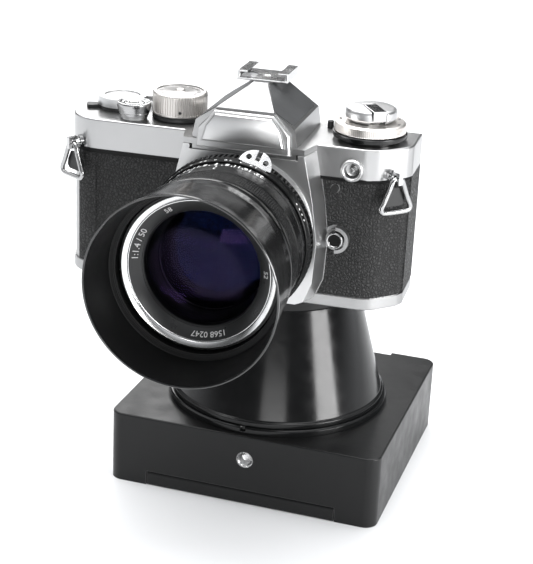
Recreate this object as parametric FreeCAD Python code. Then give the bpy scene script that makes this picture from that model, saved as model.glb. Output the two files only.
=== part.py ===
import FreeCAD, Part
import math
import os

# A 35 mm single-lens reflex camera with a 50 mm lens and hood, held by the tripod thread on top of
# a conical neck that turns on a square box base. Millimetres, +Z up. The origin is on the ground
# under the neck's axis. The camera is square to the axes: the lens looks along -Y, and the rewind
# side is +X. The base is turned a few degrees under it, as the swivel lets it be.

os.makedirs("parts", exist_ok=True)
V = FreeCAD.Vector
X, Y, Z = V(1, 0, 0), V(0, 1, 0), V(0, 0, 1)

# ---------------------------------------------------------------- driving dimensions
RUN = 0.05            # radial running fit
GAP = 0.3             # clearance between parts that move past each other

BASE_TURN = -3.0      # base turned about the neck's axis, degrees
BASE_W, BASE_D, BASE_H = 118.0, 110.0, 31.5
BASE_SHIFT = 5.0      # the base's middle lies this far behind the neck's axis
BASE_CORNER = 5.5
BASE_WALL = 2.5
FLOOR_T = 2.5
PAD_T = 1.0           # rubber pads set flush in the floor plate
HATCH_W, HATCH_H, HATCH_T = 83.0, 6.2, 2.0
SOCKET_X, SOCKET_Z = 2.0, 20.7
SOCKET_R = 3.0        # tapped bore of the 1/4 inch socket
BUSH_R = 3.6          # threaded bush round it
PIN_R = 0.6
KNUCKLE_R = 1.3

RING_R, RING_H = 48.0, 3.0
SPIGOT_R = 38.0
NECK_FOOT_R, NECK_TOP_R, NECK_WALL = 46.6, 33.0, 2.5
NECK_TOP_Z = 87.0

CAM_X, CAM_Y, CAM_Z = -8.5, -15.0, 87.0   # lens axis and body middle over the neck
FRONT, BACK = -17.5, 17.5                 # leather plane and door plane
LEFT, RIGHT = -79.0, 63.5
BOTTOM_H, COVER_Z, DECK_Z = 5.0, 55.0, 67.5
SKIN = 1.2                                # wall of the pressed covers
LEATHER_T = 0.55
AXIS_Z = 33.5                             # lens axis above the camera's underside
APRON_Y, FLANGE_Y = -28.0, -36.5

DIAL_X, DIAL_Y, DIAL_R = -34.8, -1.0, 11.35         # shutter dial
LEVER_X, LEVER_Y, LEVER_R = -62.0, 5.0, 10.0        # advance lever
BUTTON_X, BUTTON_Y = -51.5, -9.8                    # shutter release
REWIND_X, REWIND_Y = 44.8, -1.0
KNOB_Z = DECK_Z + 8.1                               # underside of the rewind knob
CRANK_Z = KNOB_Z + 4.0
ISO_R, KNOB_R = 14.35, 10.4
CRANK_TURN = 120.0                                  # where the folded crank points
LOCK_X, LOCK_Y, LOCK_R = 26.7, 8.5, 1.3             # film-speed lock
SYNC_X, SYNC_Z, SYNC_R = 41.9, 58.7, 4.6
FLASH_X, FLASH_Z = 35.4, 50.4
RELEASE_X, RELEASE_Z = 37.2, 29.8
LUG_RIGHT, LUG_RIGHT_TURN = (56.64, -12.24, 57.0), -45.0
LUG_LEFT, LUG_LEFT_TURN = (-72.42, -15.44, 57.0), -122.0
HINGE_X, HINGE_Y = -76.8, 15.6
SPOOL_X, SPROCKET_X, SPROCKET_Y = -60.0, -37.5, 4.0
BATTERY_X = -22.0

BARREL_R, CELL_R, BORE_R = 29.0, 25.0, 22.3
APERTURE_R, APERTURE_Y0, APERTURE_Y1 = 33.0, -48.0, -40.0
FOCUS_R, FOCUS_Y0, FOCUS_Y1 = 31.8, -69.0, -52.0
FRONT_Y = -83.8
CHROME_R, NAME_R = 29.7, 27.2
HOOD_Y, HOOD_R = -107.0, 36.5


# ---------------------------------------------------------------- small makers
def box(x0, x1, y0, y1, z0, z1):
    return Part.makeBox(x1 - x0, y1 - y0, z1 - z0, V(x0, y0, z0))


def post(x, y, z0, z1, r):
    return Part.makeCylinder(r, z1 - z0, V(x, y, z0), Z)


def tube(x, y, z0, z1, r_out, r_in):
    return post(x, y, z0, z1, r_out).cut(post(x, y, z0 - 1, z1 + 1, r_in))


def rod_y(x, z, y0, y1, r):
    return Part.makeCylinder(r, y1 - y0, V(x, y0, z), Y)


def tube_y(x, z, y0, y1, r_out, r_in):
    return rod_y(x, z, y0, y1, r_out).cut(rod_y(x, z, y0 - 1, y1 + 1, r_in))


def cone(x, y, z0, z1, r0, r1):
    return Part.makeCone(r0, r1, z1 - z0, V(x, y, z0), Z)


def slab(points, z0, z1):
    """A flat outline in plan, given as (x, y), raised from z0 to z1."""
    ring = [V(x, y, z0) for x, y in points]
    return Part.Face(Part.makePolygon(ring + [ring[0]])).extrude(V(0, 0, z1 - z0))


def front_plate(points, y0, y1):
    """An outline seen from the front, given as (x, z), pushed from y0 to y1."""
    ring = [V(x, y0, z) for x, z in points]
    return Part.Face(Part.makePolygon(ring + [ring[0]])).extrude(V(0, y1 - y0, 0))


def side_plate(points, x0, x1):
    """An outline seen from the side, given as (y, z), pushed from x0 to x1."""
    ring = [V(x0, y, z) for y, z in points]
    return Part.Face(Part.makePolygon(ring + [ring[0]])).extrude(V(x1 - x0, 0, 0))


def mirrored(points):
    """A right-hand half outline, bottom to top, closed by its mirror image."""
    return points + [(-x, z) for x, z in reversed(points)]


def turned_y(profile, z=AXIS_Z):
    """A closed (radius, y) outline turned about the lens axis."""
    ring = [V(r, y, z) for r, y in profile]
    face = Part.Face(Part.makePolygon(ring + [ring[0]]))
    return face.revolve(V(0, 0, z), Y, 360)


def turned_z(profile, x=0.0, y=0.0):
    """A closed (radius, z) outline turned about an upright axis."""
    ring = [V(x + r, y, z) for r, z in profile]
    face = Part.Face(Part.makePolygon(ring + [ring[0]]))
    return face.revolve(V(x, y, 0), Z, 360)


def round_upright(shape, radius):
    upright = [e for e in shape.Edges
               if len(e.Vertexes) == 2 and abs(e.tangentAt(e.FirstParameter).z) > 0.999]
    return shape.makeFillet(radius, upright)


def round_box(w, d, z0, z1, radius):
    return round_upright(box(-w / 2, w / 2, -d / 2, d / 2, z0, z1), radius)


def around(shape, count, start=0.0):
    """Copies of a shape spaced evenly about the Z axis."""
    copies = []
    for i in range(count):
        copy = shape.copy()
        copy.rotate(V(0, 0, 0), Z, start + 360.0 * i / count)
        copies.append(copy)
    return copies


def single(shape):
    return shape.Solids[0] if shape.ShapeType == "Compound" and len(shape.Solids) == 1 else shape


def save(name, shape):
    shape = single(shape)
    print(name, len(shape.Solids), round(shape.Volume, 1), shape.isValid())
    shape.exportStep("parts/" + name + ".step")


def save_base(name, shape):
    shape = shape.copy()
    shape.translate(V(0, BASE_SHIFT, 0))
    shape.rotate(V(0, 0, 0), Z, BASE_TURN)
    save(name, shape)


def save_cam(name, shape):
    shape = shape.copy()
    shape.translate(V(CAM_X, CAM_Y, CAM_Z))
    save(name, shape)


# ---------------------------------------------------------------- base
# Base parts are drawn with the box's middle at x = y = 0; the neck's axis is at y = -BASE_SHIFT.
NECK_Y = -BASE_SHIFT
FACE = -BASE_D / 2
PIN_Z = HATCH_H - KNUCKLE_R
PIN_Y = FACE + KNUCKLE_R
SCREW_SPOTS = [(sx * (BASE_W / 2 - 9), sy * (BASE_D / 2 - 9)) for sx in (-1, 1) for sy in (-1, 1)]
PAD_SPOTS = [(sx * (BASE_W / 2 - 22), sy * (BASE_D / 2 - 17)) for sx in (-1, 1) for sy in (-1, 1)]
SLOT_X0, SLOT_X1 = 6.0, 38.0                       # rear recess of the neck lock


def make_base_shell():
    shell = round_box(BASE_W, BASE_D, 0, BASE_H, BASE_CORNER)
    rims = [e for e in shell.Edges if abs(e.BoundBox.ZMin - BASE_H) < 1e-6]
    shell = shell.makeFillet(0.8, rims)
    inner = round_box(BASE_W - 2 * BASE_WALL, BASE_D - 2 * BASE_WALL, -1, BASE_H - BASE_WALL,
                      BASE_CORNER - BASE_WALL)
    shell = shell.cut(inner)
    for x, y in SCREW_SPOTS:
        shell = shell.fuse(post(x, y, FLOOR_T, BASE_H - 1, 4.0))
        shell = shell.cut(post(x, y, 0, 14, 1.5))
    shell = shell.cut(post(0, NECK_Y, BASE_H - 4, BASE_H + 1, SPIGOT_R + RUN))
    shell = shell.cut(rod_y(SOCKET_X, SOCKET_Z, FACE - 1, FACE + 4, BUSH_R))
    half = HATCH_W / 2 + GAP
    shell = shell.cut(box(-half, half, FACE - 1, FACE + 4, -1, HATCH_H + GAP))
    # two lugs hold the hatch's pin just behind the front wall
    for side in (-1, 1):
        lug = box(-2, 2, FACE + 0.2, FACE + 4.3, PIN_Z - 1.5, 12)
        lug.translate(V(side * (HATCH_W / 2 + GAP + 2), 0, 0))
        shell = shell.fuse(lug)
    shell = shell.cut(Part.makeCylinder(PIN_R, HATCH_W + 10, V(-HATCH_W / 2 - 5, PIN_Y, PIN_Z), X))
    shell = shell.cut(box(SLOT_X0, SLOT_X1, BASE_D / 2 - 3.2, BASE_D / 2 + 1, BASE_H - 2.6, BASE_H + 1))
    slot = box(SLOT_X0 + 6, SLOT_X1 - 6, BASE_D / 2 - 3.4, BASE_D / 2 + 1, BASE_H - 6, BASE_H - 2)
    return shell.cut(slot).removeSplitter()


def make_floor_plate():
    w = BASE_W - 2 * BASE_WALL - 0.2
    d = BASE_D - 2 * BASE_WALL - 0.2
    plate = round_box(w, d, 0, FLOOR_T, BASE_CORNER - BASE_WALL)
    plate = plate.cut(box(-HATCH_W / 2 - 6, HATCH_W / 2 + 6, -d / 2 - 1, FACE + 6, -1, 10))
    for x, y in SCREW_SPOTS:
        plate = plate.cut(post(x, y, -1, 10, 1.7))
        plate = plate.cut(post(x, y, -1, 1.2, 3.2))
    for x, y in PAD_SPOTS:
        plate = plate.cut(post(x, y, -1, PAD_T, 5.0))
    return plate


def make_base_screws():
    screws = []
    for x, y in SCREW_SPOTS:
        head = post(x, y, 0.2, 1.2, 2.9)
        head = head.cut(post(x, y, 0, 0.8, 1.1))
        screws.append(head.fuse(post(x, y, 1.2, 12, 1.5)))
    return Part.makeCompound(screws)


def make_socket():
    bush = rod_y(SOCKET_X, SOCKET_Z, FACE + 0.1, FACE + 6.4, BUSH_R)
    bush = bush.fuse(rod_y(SOCKET_X, SOCKET_Z, FACE + BASE_WALL, FACE + 4.5, 7.5))
    return bush.cut(rod_y(SOCKET_X, SOCKET_Z, FACE - 1, FACE + 5.3, SOCKET_R))


def make_hatch():
    """A narrow flap along the bottom of the front wall; its rounded top edge is the knuckle."""
    flap = box(-HATCH_W / 2, HATCH_W / 2, FACE, FACE + HATCH_T, 0.4, PIN_Z)
    knuckle = Part.makeCylinder(KNUCKLE_R, HATCH_W, V(-HATCH_W / 2, PIN_Y, PIN_Z), X)
    bore = Part.makeCylinder(PIN_R + RUN, HATCH_W + 2, V(-HATCH_W / 2 - 1, PIN_Y, PIN_Z), X)
    return flap.fuse(knuckle).cut(bore).removeSplitter()


def make_bearing_ring():
    ring = turned_z([(SPIGOT_R + RUN, BASE_H), (RING_R, BASE_H), (RING_R, BASE_H + RING_H - 0.6),
                     (RING_R - 0.6, BASE_H + RING_H), (SPIGOT_R + RUN, BASE_H + RING_H)], 0, NECK_Y)
    notch = box(-1.2, 1.2, NECK_Y - RING_R - 1, NECK_Y - RING_R + 1.2, BASE_H + 1.2, BASE_H + 5)
    return ring.cut(notch)


def make_ballast():
    block = box(-36, 36, 4, 44, FLOOR_T, 20)
    return round_upright(block, 4.0)


def make_neck_lock():
    """A thumb slide in the rear recess, with a stem through the slot."""
    thumb = box(SLOT_X0 + 8, SLOT_X0 + 20, BASE_D / 2 - 2.8, BASE_D / 2 - 0.4, BASE_H - 2.2, BASE_H - 0.5)
    stem = box(SLOT_X0 + 11, SLOT_X0 + 17, BASE_D / 2 - 2.2, BASE_D / 2 - 0.9, BASE_H - 5.4, BASE_H - 2.2)
    return thumb.fuse(stem)


save_base("base_shell", make_base_shell())
save_base("base_floor_plate", make_floor_plate())
save_base("base_feet", Part.makeCompound([post(x, y, 0, PAD_T, 4.9) for x, y in PAD_SPOTS]))
save_base("base_screws", make_base_screws())
save_base("tripod_socket", make_socket())
save_base("hatch", make_hatch())
save_base("hatch_pin", Part.makeCylinder(PIN_R, HATCH_W + 8, V(-HATCH_W / 2 - 4, PIN_Y, PIN_Z), X))
save_base("bearing_ring", make_bearing_ring())
save_base("ballast_block", make_ballast())
save_base("neck_lock", make_neck_lock())

# ---------------------------------------------------------------- neck (on the origin's axis)
RING_TOP = BASE_H + RING_H
FOOT_Z = RING_TOP + 0.1
RETAINER_TOP = BASE_H - BASE_WALL - GAP


def make_neck_cone():
    top = NECK_TOP_Z - 5.0
    outer = turned_z([(0, FOOT_Z), (NECK_FOOT_R, FOOT_Z), (NECK_FOOT_R, FOOT_Z + 2.0),
                      (NECK_FOOT_R - 1.2, FOOT_Z + 2.6), (NECK_TOP_R, top), (0, top)])
    inner = cone(0, 0, FOOT_Z + 3.0, top, NECK_FOOT_R - 2.4 - NECK_WALL, NECK_TOP_R - NECK_WALL)
    spigot = tube(0, 0, RETAINER_TOP, FOOT_Z + 1, SPIGOT_R, SPIGOT_R - 4)
    body = outer.cut(inner).cut(post(0, 0, FOOT_Z - 1, FOOT_Z + 4, SPIGOT_R - 4)).fuse(spigot)
    return body.removeSplitter()


def make_retainer():
    ring = tube(0, 0, RETAINER_TOP - 3.0, RETAINER_TOP, SPIGOT_R + 5, SPIGOT_R - 6)
    for spot in around(post(SPIGOT_R - 2, 0, 0, 60, 1.2), 6):
        ring = ring.cut(spot)
    return ring


def make_camera_plate():
    low = NECK_TOP_Z - 5.0
    plate = turned_z([(0, low - 2.5), (NECK_TOP_R - NECK_WALL - 0.6, low - 2.5),
                      (NECK_TOP_R - NECK_WALL - 0.6, low), (NECK_TOP_R, low),
                      (NECK_TOP_R, NECK_TOP_Z - 0.6), (NECK_TOP_R - 0.6, NECK_TOP_Z), (0, NECK_TOP_Z)])
    plate = plate.cut(post(CAM_X, CAM_Y, low - 4, NECK_TOP_Z + 1, 3.4))
    plate = plate.cut(post(CAM_X, CAM_Y, low - 4, NECK_TOP_Z - 3.0, 7.0))
    # a low stop behind the camera keeps it from twisting
    stop = box(-18, 18, CAM_Y + BACK + 0.6, CAM_Y + BACK + 4.0, NECK_TOP_Z - 1, NECK_TOP_Z + 3.0)
    return plate.fuse(stop).removeSplitter()


def make_camera_screw():
    shaft = post(CAM_X, CAM_Y, NECK_TOP_Z - 3.2, CAM_Z + 4.6, 3.0)
    head = post(CAM_X, CAM_Y, NECK_TOP_Z - 12.0, NECK_TOP_Z - 3.2, 6.6)
    slot = box(CAM_X - 7, CAM_X + 7, CAM_Y - 0.7, CAM_Y + 0.7, NECK_TOP_Z - 13, NECK_TOP_Z - 10.8)
    return head.cut(slot).fuse(shaft)


save("neck_cone", make_neck_cone())
save("neck_retainer", make_retainer())
save("camera_plate", make_camera_plate())
save("camera_screw", make_camera_screw())

# ---------------------------------------------------------------- camera: plan outline
FACET_X = 51.0        # where the right-hand front corner facet begins
CORNER = (61.6, -7.4)  # its crisp rear edge
BEND_X = -65.0        # where the left-hand rounded end begins
END_ARC = 14.0


def arc_points(cx, cy, rx, ry, a0, a1, count):
    step = (a1 - a0) / count
    angles = [math.radians(a0 + step * i) for i in range(count + 1)]
    return [(cx + rx * math.cos(a), cy + ry * math.sin(a)) for a in angles]


def facet_points(inset):
    """The right-hand front corner: a rounded bend, a flat facet and its crisp rear edge."""
    bend = V(FACET_X - 0.4 * inset, FRONT + inset, 0)
    rear = V(CORNER[0] - 0.8 * inset, CORNER[1] + 0.4 * inset, 0)
    start = bend - V(5, 0, 0)
    stop = bend + (rear - bend).normalize() * 5
    steps = [k / 6 for k in range(7)]
    spots = [start * (1 - t) ** 2 + bend * 2 * t * (1 - t) + stop * t ** 2 for t in steps]
    return [(spot.x, spot.y) for spot in spots + [rear]]


def body_outline(inset, back):
    """Plan of the body: rounded left end, faceted right end."""
    front = FRONT + inset
    left = arc_points(BEND_X, front + END_ARC, -LEFT + BEND_X - inset, END_ARC, 180, 270, 10)
    right = facet_points(inset) + [(RIGHT - inset, CORNER[1] + 4.0), (RIGHT - inset, back)]
    return [(LEFT + inset, back)] + left + right


def body_slab(inset, back, z0, z1):
    return slab(body_outline(inset, back), z0, z1)


# ---------------------------------------------------------------- camera: covers
RIDGE_X, RIDGE_Z = 3.0, 86.7
EAVE_X, EAVE_Z = 20.0, 74.8
HUMP_X = 21.2
SLOPE_Y0, SLOPE_Y1 = -28.5, -6.0      # front slope, from the nameplate's top to the shoe
SLOPE_Z0 = 80.3
HUMP_BACK = 14.0
DECK_BACK = 16.0
EYE_Z = 71.5


def hump(inset, y0, y1, z0):
    """The roof-shaped housing over the prism."""
    half = [(HUMP_X - inset, z0), (HUMP_X - inset, EAVE_Z - 6), (EAVE_X - inset, EAVE_Z - 0.4 * inset),
            (RIDGE_X, RIDGE_Z - 1.2 * inset)]
    roof = front_plate(mirrored(half), y0 + inset, y1 - inset)
    rise = (RIDGE_Z - SLOPE_Z0) / (SLOPE_Y1 - SLOPE_Y0)
    low = RIDGE_Z - rise * (SLOPE_Y1 + 45) - 1.2 * inset
    wedge = side_plate([(-45, low), (SLOPE_Y1, RIDGE_Z - 1.2 * inset), (SLOPE_Y1, 100), (-45, 100)], -40, 40)
    return roof.cut(wedge)


NAME_HALF = [(17.0, 67.2), (15.2, 74.0), (11.6, 79.2)]
FRAME_HALF = [(19.2, 64.4), (18.6, 72.6), (12.0, 80.0)]


def make_top_cover():
    deck = body_slab(0, DECK_BACK, COVER_Z, DECK_Z)
    deck = deck.makeFillet(0.8, [e for e in deck.Edges if e.BoundBox.ZMin > DECK_Z - 1e-6])
    brow = slab([(-24.6, APRON_Y), (24.6, APRON_Y), (27.4, FRONT + 1), (-27.4, FRONT + 1)], 65.2, DECK_Z)
    cover = deck.fuse(brow)
    cover = cover.fuse(hump(0, -27.0, HUMP_BACK, 63.0))
    cover = cover.fuse(front_plate(mirrored(FRAME_HALF), -28.6, -20))
    cover = cover.fuse(front_plate(mirrored(NAME_HALF), -29.8, -20))
    cover = cover.cut(body_slab(SKIN, DECK_BACK - SKIN, COVER_Z - 1, DECK_Z - SKIN))
    cover = cover.cut(hump(1.6, -25.6, HUMP_BACK + 0.2, 54.0))
    for x, y, r in [(BUTTON_X, BUTTON_Y, 3.0), (LEVER_X, LEVER_Y, 3.0 + RUN), (DIAL_X, DIAL_Y, 2.5 + RUN),
                    (REWIND_X, REWIND_Y, 5.0), (LOCK_X, LOCK_Y, LOCK_R + RUN)]:
        cover = cover.cut(post(x, y, 60, 75, r))
    cover = cover.cut(rod_y(0, EYE_Z, 5, 20, 7.9))
    cover = cover.cut(rod_y(SYNC_X, SYNC_Z, -20, -14, 3.6))
    return cover.removeSplitter()


def make_prism_panels():
    """Dark inset panels on the two slopes of the prism housing."""
    dx, dz = EAVE_X - RIDGE_X, RIDGE_Z - EAVE_Z
    length = math.hypot(dx, dz)
    nx, nz = dz / length, dx / length
    thick = 0.25
    # corners as (distance down the slope from the ridge, y)
    outline = [(1.2, -6.6), (9.2, -24.4), (11.6, -26.0), (19.4, -24.2),
               (19.4, 10.0), (16.2, 12.6), (1.2, 12.6)]
    ring = [V(RIDGE_X + s * dx / length, y, RIDGE_Z - s * dz / length) for s, y in outline]
    right = Part.Face(Part.makePolygon(ring + [ring[0]])).extrude(V(nx * thick, 0, nz * thick))
    left = right.mirror(V(0, 0, 0), X)
    return Part.makeCompound([right, left])


def make_bottom_cover():
    cover = body_slab(0, DECK_BACK, 0, BOTTOM_H)
    cover = cover.makeFillet(0.8, [e for e in cover.Edges if e.BoundBox.ZMax < 1e-6])
    cover = cover.cut(body_slab(SKIN, DECK_BACK - SKIN, SKIN, BOTTOM_H + 1))
    cover = cover.cut(post(0, 0, -1, 3, 5.5))
    cover = cover.cut(post(BATTERY_X, -4, -1, 3, 8.4))
    cover = cover.cut(post(SPROCKET_X - 2, 8, -1, 3, 2.3))
    return cover


def make_apron():
    """The silver front panel round the lens mount, with a round boss."""
    face = [(24.0, 3.2), (27.2, 4.6), (30.4, 13.0), (31.3, 30.0), (28.9, 46.0), (24.6, 65.0)]
    foot = [(25.4, 1.4), (29.0, 3.0), (32.6, 12.0), (33.4, 30.0), (31.2, 46.0), (27.2, 65.0)]

    def ring(points, y):
        corners = [V(x, y, z) for x, z in mirrored(points)]
        return Part.makePolygon(corners + [corners[0]])
    apron = Part.makeLoft([ring(face, APRON_Y), ring(foot, FRONT + LEATHER_T)], True, True)
    boss = turned_y([(0, APRON_Y + 1), (29.6, APRON_Y + 1), (29.6, APRON_Y), (28.8, -33.5), (0, -33.5)])
    apron = apron.fuse(boss)
    apron = apron.cut(rod_y(0, AXIS_Z, -40, -10, 23.0))
    apron = apron.cut(box(-22, 22, -40, -10, 62.9, 70))
    # the covers reach over its upper and lower ends
    apron = apron.cut(box(-40, 40, FRONT - 0.02, 0, 0, BOTTOM_H))
    apron = apron.cut(box(-40, 40, FRONT - 0.02, 0, COVER_Z, 70))
    apron = apron.cut(box(-20, 20, APRON_Y + 1.5, 0, 12, 70))
    return apron.removeSplitter()


def leather(points, z0=BOTTOM_H + 0.4, z1=COVER_Z - 0.4):
    sheet = slab(points, z0, z1)
    outline = mirrored([(25.8, 1), (29.4, 2.8), (33.0, 12), (33.8, 30), (31.6, 46), (27.6, 66)])
    clear = front_plate(outline, -22, -14)
    return sheet.cut(clear)


def make_leather_left():
    y0, y1 = FRONT, FRONT + LEATHER_T
    return leather([(BEND_X - 0.5, y0), (-20, y0), (-20, y1), (BEND_X - 0.5, y1)])


def make_leather_right():
    inner = facet_points(LEATHER_T)
    inner.reverse()
    sheet = leather([(20, FRONT)] + facet_points(0) + inner + [(20, FRONT + LEATHER_T)])
    sheet = sheet.cut(rod_y(RELEASE_X, RELEASE_Z, -20, -10, 5.6))
    sheet = sheet.cut(rod_y(FLASH_X, FLASH_Z, -20, -10, 2.0))
    return sheet.cut(rod_y(SYNC_X, SYNC_Z, -20, -10, SYNC_R + 0.2))


save_cam("top_cover", make_top_cover())
save_cam("prism_side_panels", make_prism_panels())
save_cam("bottom_cover", make_bottom_cover())
save_cam("front_apron", make_apron())
save_cam("leatherette", Part.makeCompound([make_leather_left(), make_leather_right()]))


# ---------------------------------------------------------------- camera: casting and inner works
GATE_W, GATE_H = 36.0, 24.0
CASTING_BACK = 12.0


def make_release_guard():
    """Half-round guard beside the lens release, with the button's sleeve."""
    sleeve = tube_y(RELEASE_X, RELEASE_Z, -18.6, -16.0, 4.2, 3.4 + RUN)
    guard = tube_y(RELEASE_X, RELEASE_Z, -20.6, -16.6, 5.5, 4.1)
    guard = guard.common(box(RELEASE_X, RELEASE_X + 8, -25, 0, 0, 60))
    return sleeve.fuse(guard).removeSplitter()


def make_casting():
    casting = body_slab(LEATHER_T, CASTING_BACK, BOTTOM_H, COVER_Z)
    casting = casting.cut(box(RIGHT - 3.0, RIGHT + 1, CORNER[1] + 2.0, 20, 0, 80))
    casting = casting.cut(box(LEFT - 1, HINGE_X + 3.0, 8.0, 20, 0, 80))
    # cassette and take-up chambers, open to the back
    casting = casting.cut(post(REWIND_X, REWIND_Y, 8, 51, 13.2))
    casting = casting.cut(box(REWIND_X - 13.2, REWIND_X + 13.2, REWIND_Y, 20, 8, 51))
    casting = casting.cut(post(SPOOL_X, -2, 8, 51, 12.6))
    casting = casting.cut(box(SPOOL_X - 12.6, SPOOL_X + 12.6, -2, 20, 8, 51))
    casting = casting.cut(post(SPROCKET_X, SPROCKET_Y, 8, 51, 7.5))
    casting = casting.cut(box(SPROCKET_X - 7.5, SPROCKET_X + 7.5, SPROCKET_Y, 20, 8, 51))
    # mirror box well, shutter pocket and film gate
    casting = casting.cut(box(-20, 20, -20, 3.4, 12, COVER_Z + 1))
    casting = casting.cut(box(-27, 27, 3.2, 8.5, 10, COVER_Z - 4))
    half_w, half_h = GATE_W / 2, GATE_H / 2
    casting = casting.cut(box(-half_w, half_w, 5, 20, AXIS_Z - half_h, AXIS_Z + half_h))
    # bores for the shafts that come down from the deck
    casting = casting.cut(post(REWIND_X, REWIND_Y, 45, 80, 3.6))
    casting = casting.cut(post(SPOOL_X, -2, 5.5, 53, 2.0 + RUN))
    casting = casting.cut(post(SPROCKET_X, SPROCKET_Y, 5.5, 53, 1.5 + RUN))
    casting = casting.cut(post(LEVER_X, LEVER_Y, 52.5, 80, 3.6))
    casting = casting.cut(post(BATTERY_X, -4, 0, 9, 7.6))
    casting = casting.cut(post(0, 0, 0, 9.5, 6.0))
    casting = casting.cut(post(SPROCKET_X - 2, 8, 0, 7.4, 2.4))
    casting = casting.cut(rod_y(RELEASE_X, RELEASE_Z, -20, -11.0, 3.4 + RUN)).fuse(make_release_guard())
    casting = casting.cut(rod_y(FLASH_X, FLASH_Z, -20, -13.0, 1.5 + RUN))
    casting = casting.cut(rod_y(SYNC_X, SYNC_Z, -20, -13, SYNC_R + 0.2))
    return casting.removeSplitter()


def make_mirror_box():
    frame = box(-19.8, 19.8, -26.0, 3.0, 12.2, 54.0)
    frame = frame.cut(box(-18.8, 18.8, -27, 4, 13.2, 53.0))
    return frame.cut(box(-17.5, 17.5, -24, 0.5, 50, 60))


MIRROR_Y, MIRROR_Z, MIRROR_L = 0.6, 46.0, 26.0


def make_mirror():
    plate = box(-17.6, 17.6, MIRROR_Y - MIRROR_L, MIRROR_Y, MIRROR_Z - 0.6, MIRROR_Z + 0.6)
    axle = Part.makeCylinder(0.9, 36.8, V(-18.4, MIRROR_Y, MIRROR_Z), X)
    mirror = plate.fuse(axle)
    mirror.rotate(V(0, MIRROR_Y, MIRROR_Z), X, 45)
    return mirror


def make_prism_glass():
    half = [(15.5, 57.6), (17.0, 66.0), (15.0, 72.6), (2.6, 81.0)]
    glass = front_plate(mirrored(half), -22.0, 3.0)
    wedge = side_plate([(-30, 68.0), (-10, 81.2), (-10, 100), (-30, 100)], -40, 40)
    return glass.cut(wedge)


def make_shutter():
    """Vertical-travel shutter: frame plate with four thin blades closing the gate."""
    frame = box(-25.5, 25.5, 5.2, 8.3, 13.5, 49.5)
    half_w, half_h = GATE_W / 2 + 0.5, GATE_H / 2 + 0.5
    frame = frame.cut(box(-half_w, half_w, 4, 9, AXIS_Z - half_h, AXIS_Z + half_h))
    for i in range(4):
        low = AXIS_Z - half_h - 1.0 + i * (2 * half_h + 2.0) / 4
        high = low + (2 * half_h + 2.0) / 4 + 1.0
        blade = box(-half_w - 1, half_w + 1, 6.0 + 0.3 * i, 6.5 + 0.3 * i, low, high)
        frame = frame.fuse(blade)
    return frame.removeSplitter()


def make_spool():
    core = post(SPOOL_X, -2, 6.0, 52.5, 2.0)
    drum = post(SPOOL_X, -2, 12.0, 47.0, 6.0)
    for i in range(6):
        slit = box(SPOOL_X + 3.2, SPOOL_X + 8, -2.6, -1.4, 16, 43)
        slit.rotate(V(SPOOL_X, -2, 0), Z, 60 * i)
        drum = drum.cut(slit)
    flange = post(SPOOL_X, -2, 9.0, 12.0, 8.5)
    return core.fuse(drum).fuse(flange).removeSplitter()


def make_sprocket():
    shaft = post(SPROCKET_X, SPROCKET_Y, 6.0, 52.5, 1.5)
    body = shaft.fuse(post(SPROCKET_X, SPROCKET_Y, 10, 49, 3.2))
    for z in (AXIS_Z - 14.2, AXIS_Z + 12.2):
        body = body.fuse(post(SPROCKET_X, SPROCKET_Y, z, z + 2.0, 5.0))
        for i in range(8):
            tooth = box(SPROCKET_X + 4.6, SPROCKET_X + 6.2,
                        SPROCKET_Y - 0.7, SPROCKET_Y + 0.7, z + 0.3, z + 1.7)
            tooth.rotate(V(SPROCKET_X, SPROCKET_Y, 0), Z, 45 * i)
            body = body.fuse(tooth)
    return body.removeSplitter()


save_cam("body_casting", make_casting())
save_cam("mirror_box", make_mirror_box())
save_cam("reflex_mirror", make_mirror())
save_cam("focusing_screen", box(-18, 18, -24.6, 1.2, 54.05, 55.6))
save_cam("pentaprism", make_prism_glass())
save_cam("shutter_unit", make_shutter())
save_cam("take_up_spool", make_spool())
save_cam("sprocket", make_sprocket())
save_cam("tripod_bushing", post(0, 0, 0, 9.4, 5.4).cut(post(0, 0, -1, 7.0, 3.0)))


# ---------------------------------------------------------------- camera: back door
DOOR_T = 2.4


def make_door():
    z0, z1 = BOTTOM_H + 0.4, COVER_Z - 0.4
    corner = arc_points(RIGHT - 3.5, BACK - 3.5, 3.5, 3.5, 90, 0, 5)
    outer = [(HINGE_X, BACK), (RIGHT - 3.5, BACK)] + corner[1:]
    outer += [(RIGHT, CORNER[1] + 3.0), (RIGHT - DOOR_T, CORNER[1] + 3.0)]
    outer += [(RIGHT - DOOR_T, BACK - DOOR_T), (HINGE_X, BACK - DOOR_T)]
    door = slab(outer, z0, z1)
    door = door.fuse(post(HINGE_X, HINGE_Y, z0, z1, 1.9))
    door = door.cut(post(HINGE_X, HINGE_Y, 0, 80, 0.9 + RUN))
    # the knuckle in the middle of the height belongs to the body
    door = door.cut(box(HINGE_X - 3, HINGE_X + 2.6, BACK - 5, BACK + 1, 20, 40))
    # film reminder frame on the outside
    frame = box(-26, 2, BACK - 0.2, BACK + 0.9, 19, 45).cut(box(-24.6, 0.6, BACK - 1, BACK + 2, 20.4, 43.6))
    return door.fuse(frame).removeSplitter()


def make_hinge_knuckle():
    knuckle = post(HINGE_X, HINGE_Y, 20.3, 39.7, 1.9)
    arm = box(HINGE_X - 1.9, HINGE_X + 1.0, 11.0, HINGE_Y, 20.3, 39.7)
    plate = box(HINGE_X - 1.9, HINGE_X + 3.0, 8.0, 11.9, 12.0, 48.0)
    pin = post(HINGE_X, HINGE_Y, BOTTOM_H + 0.1, COVER_Z - 0.1, 0.9)
    return knuckle.fuse(arm).fuse(plate).fuse(pin).removeSplitter()


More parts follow.
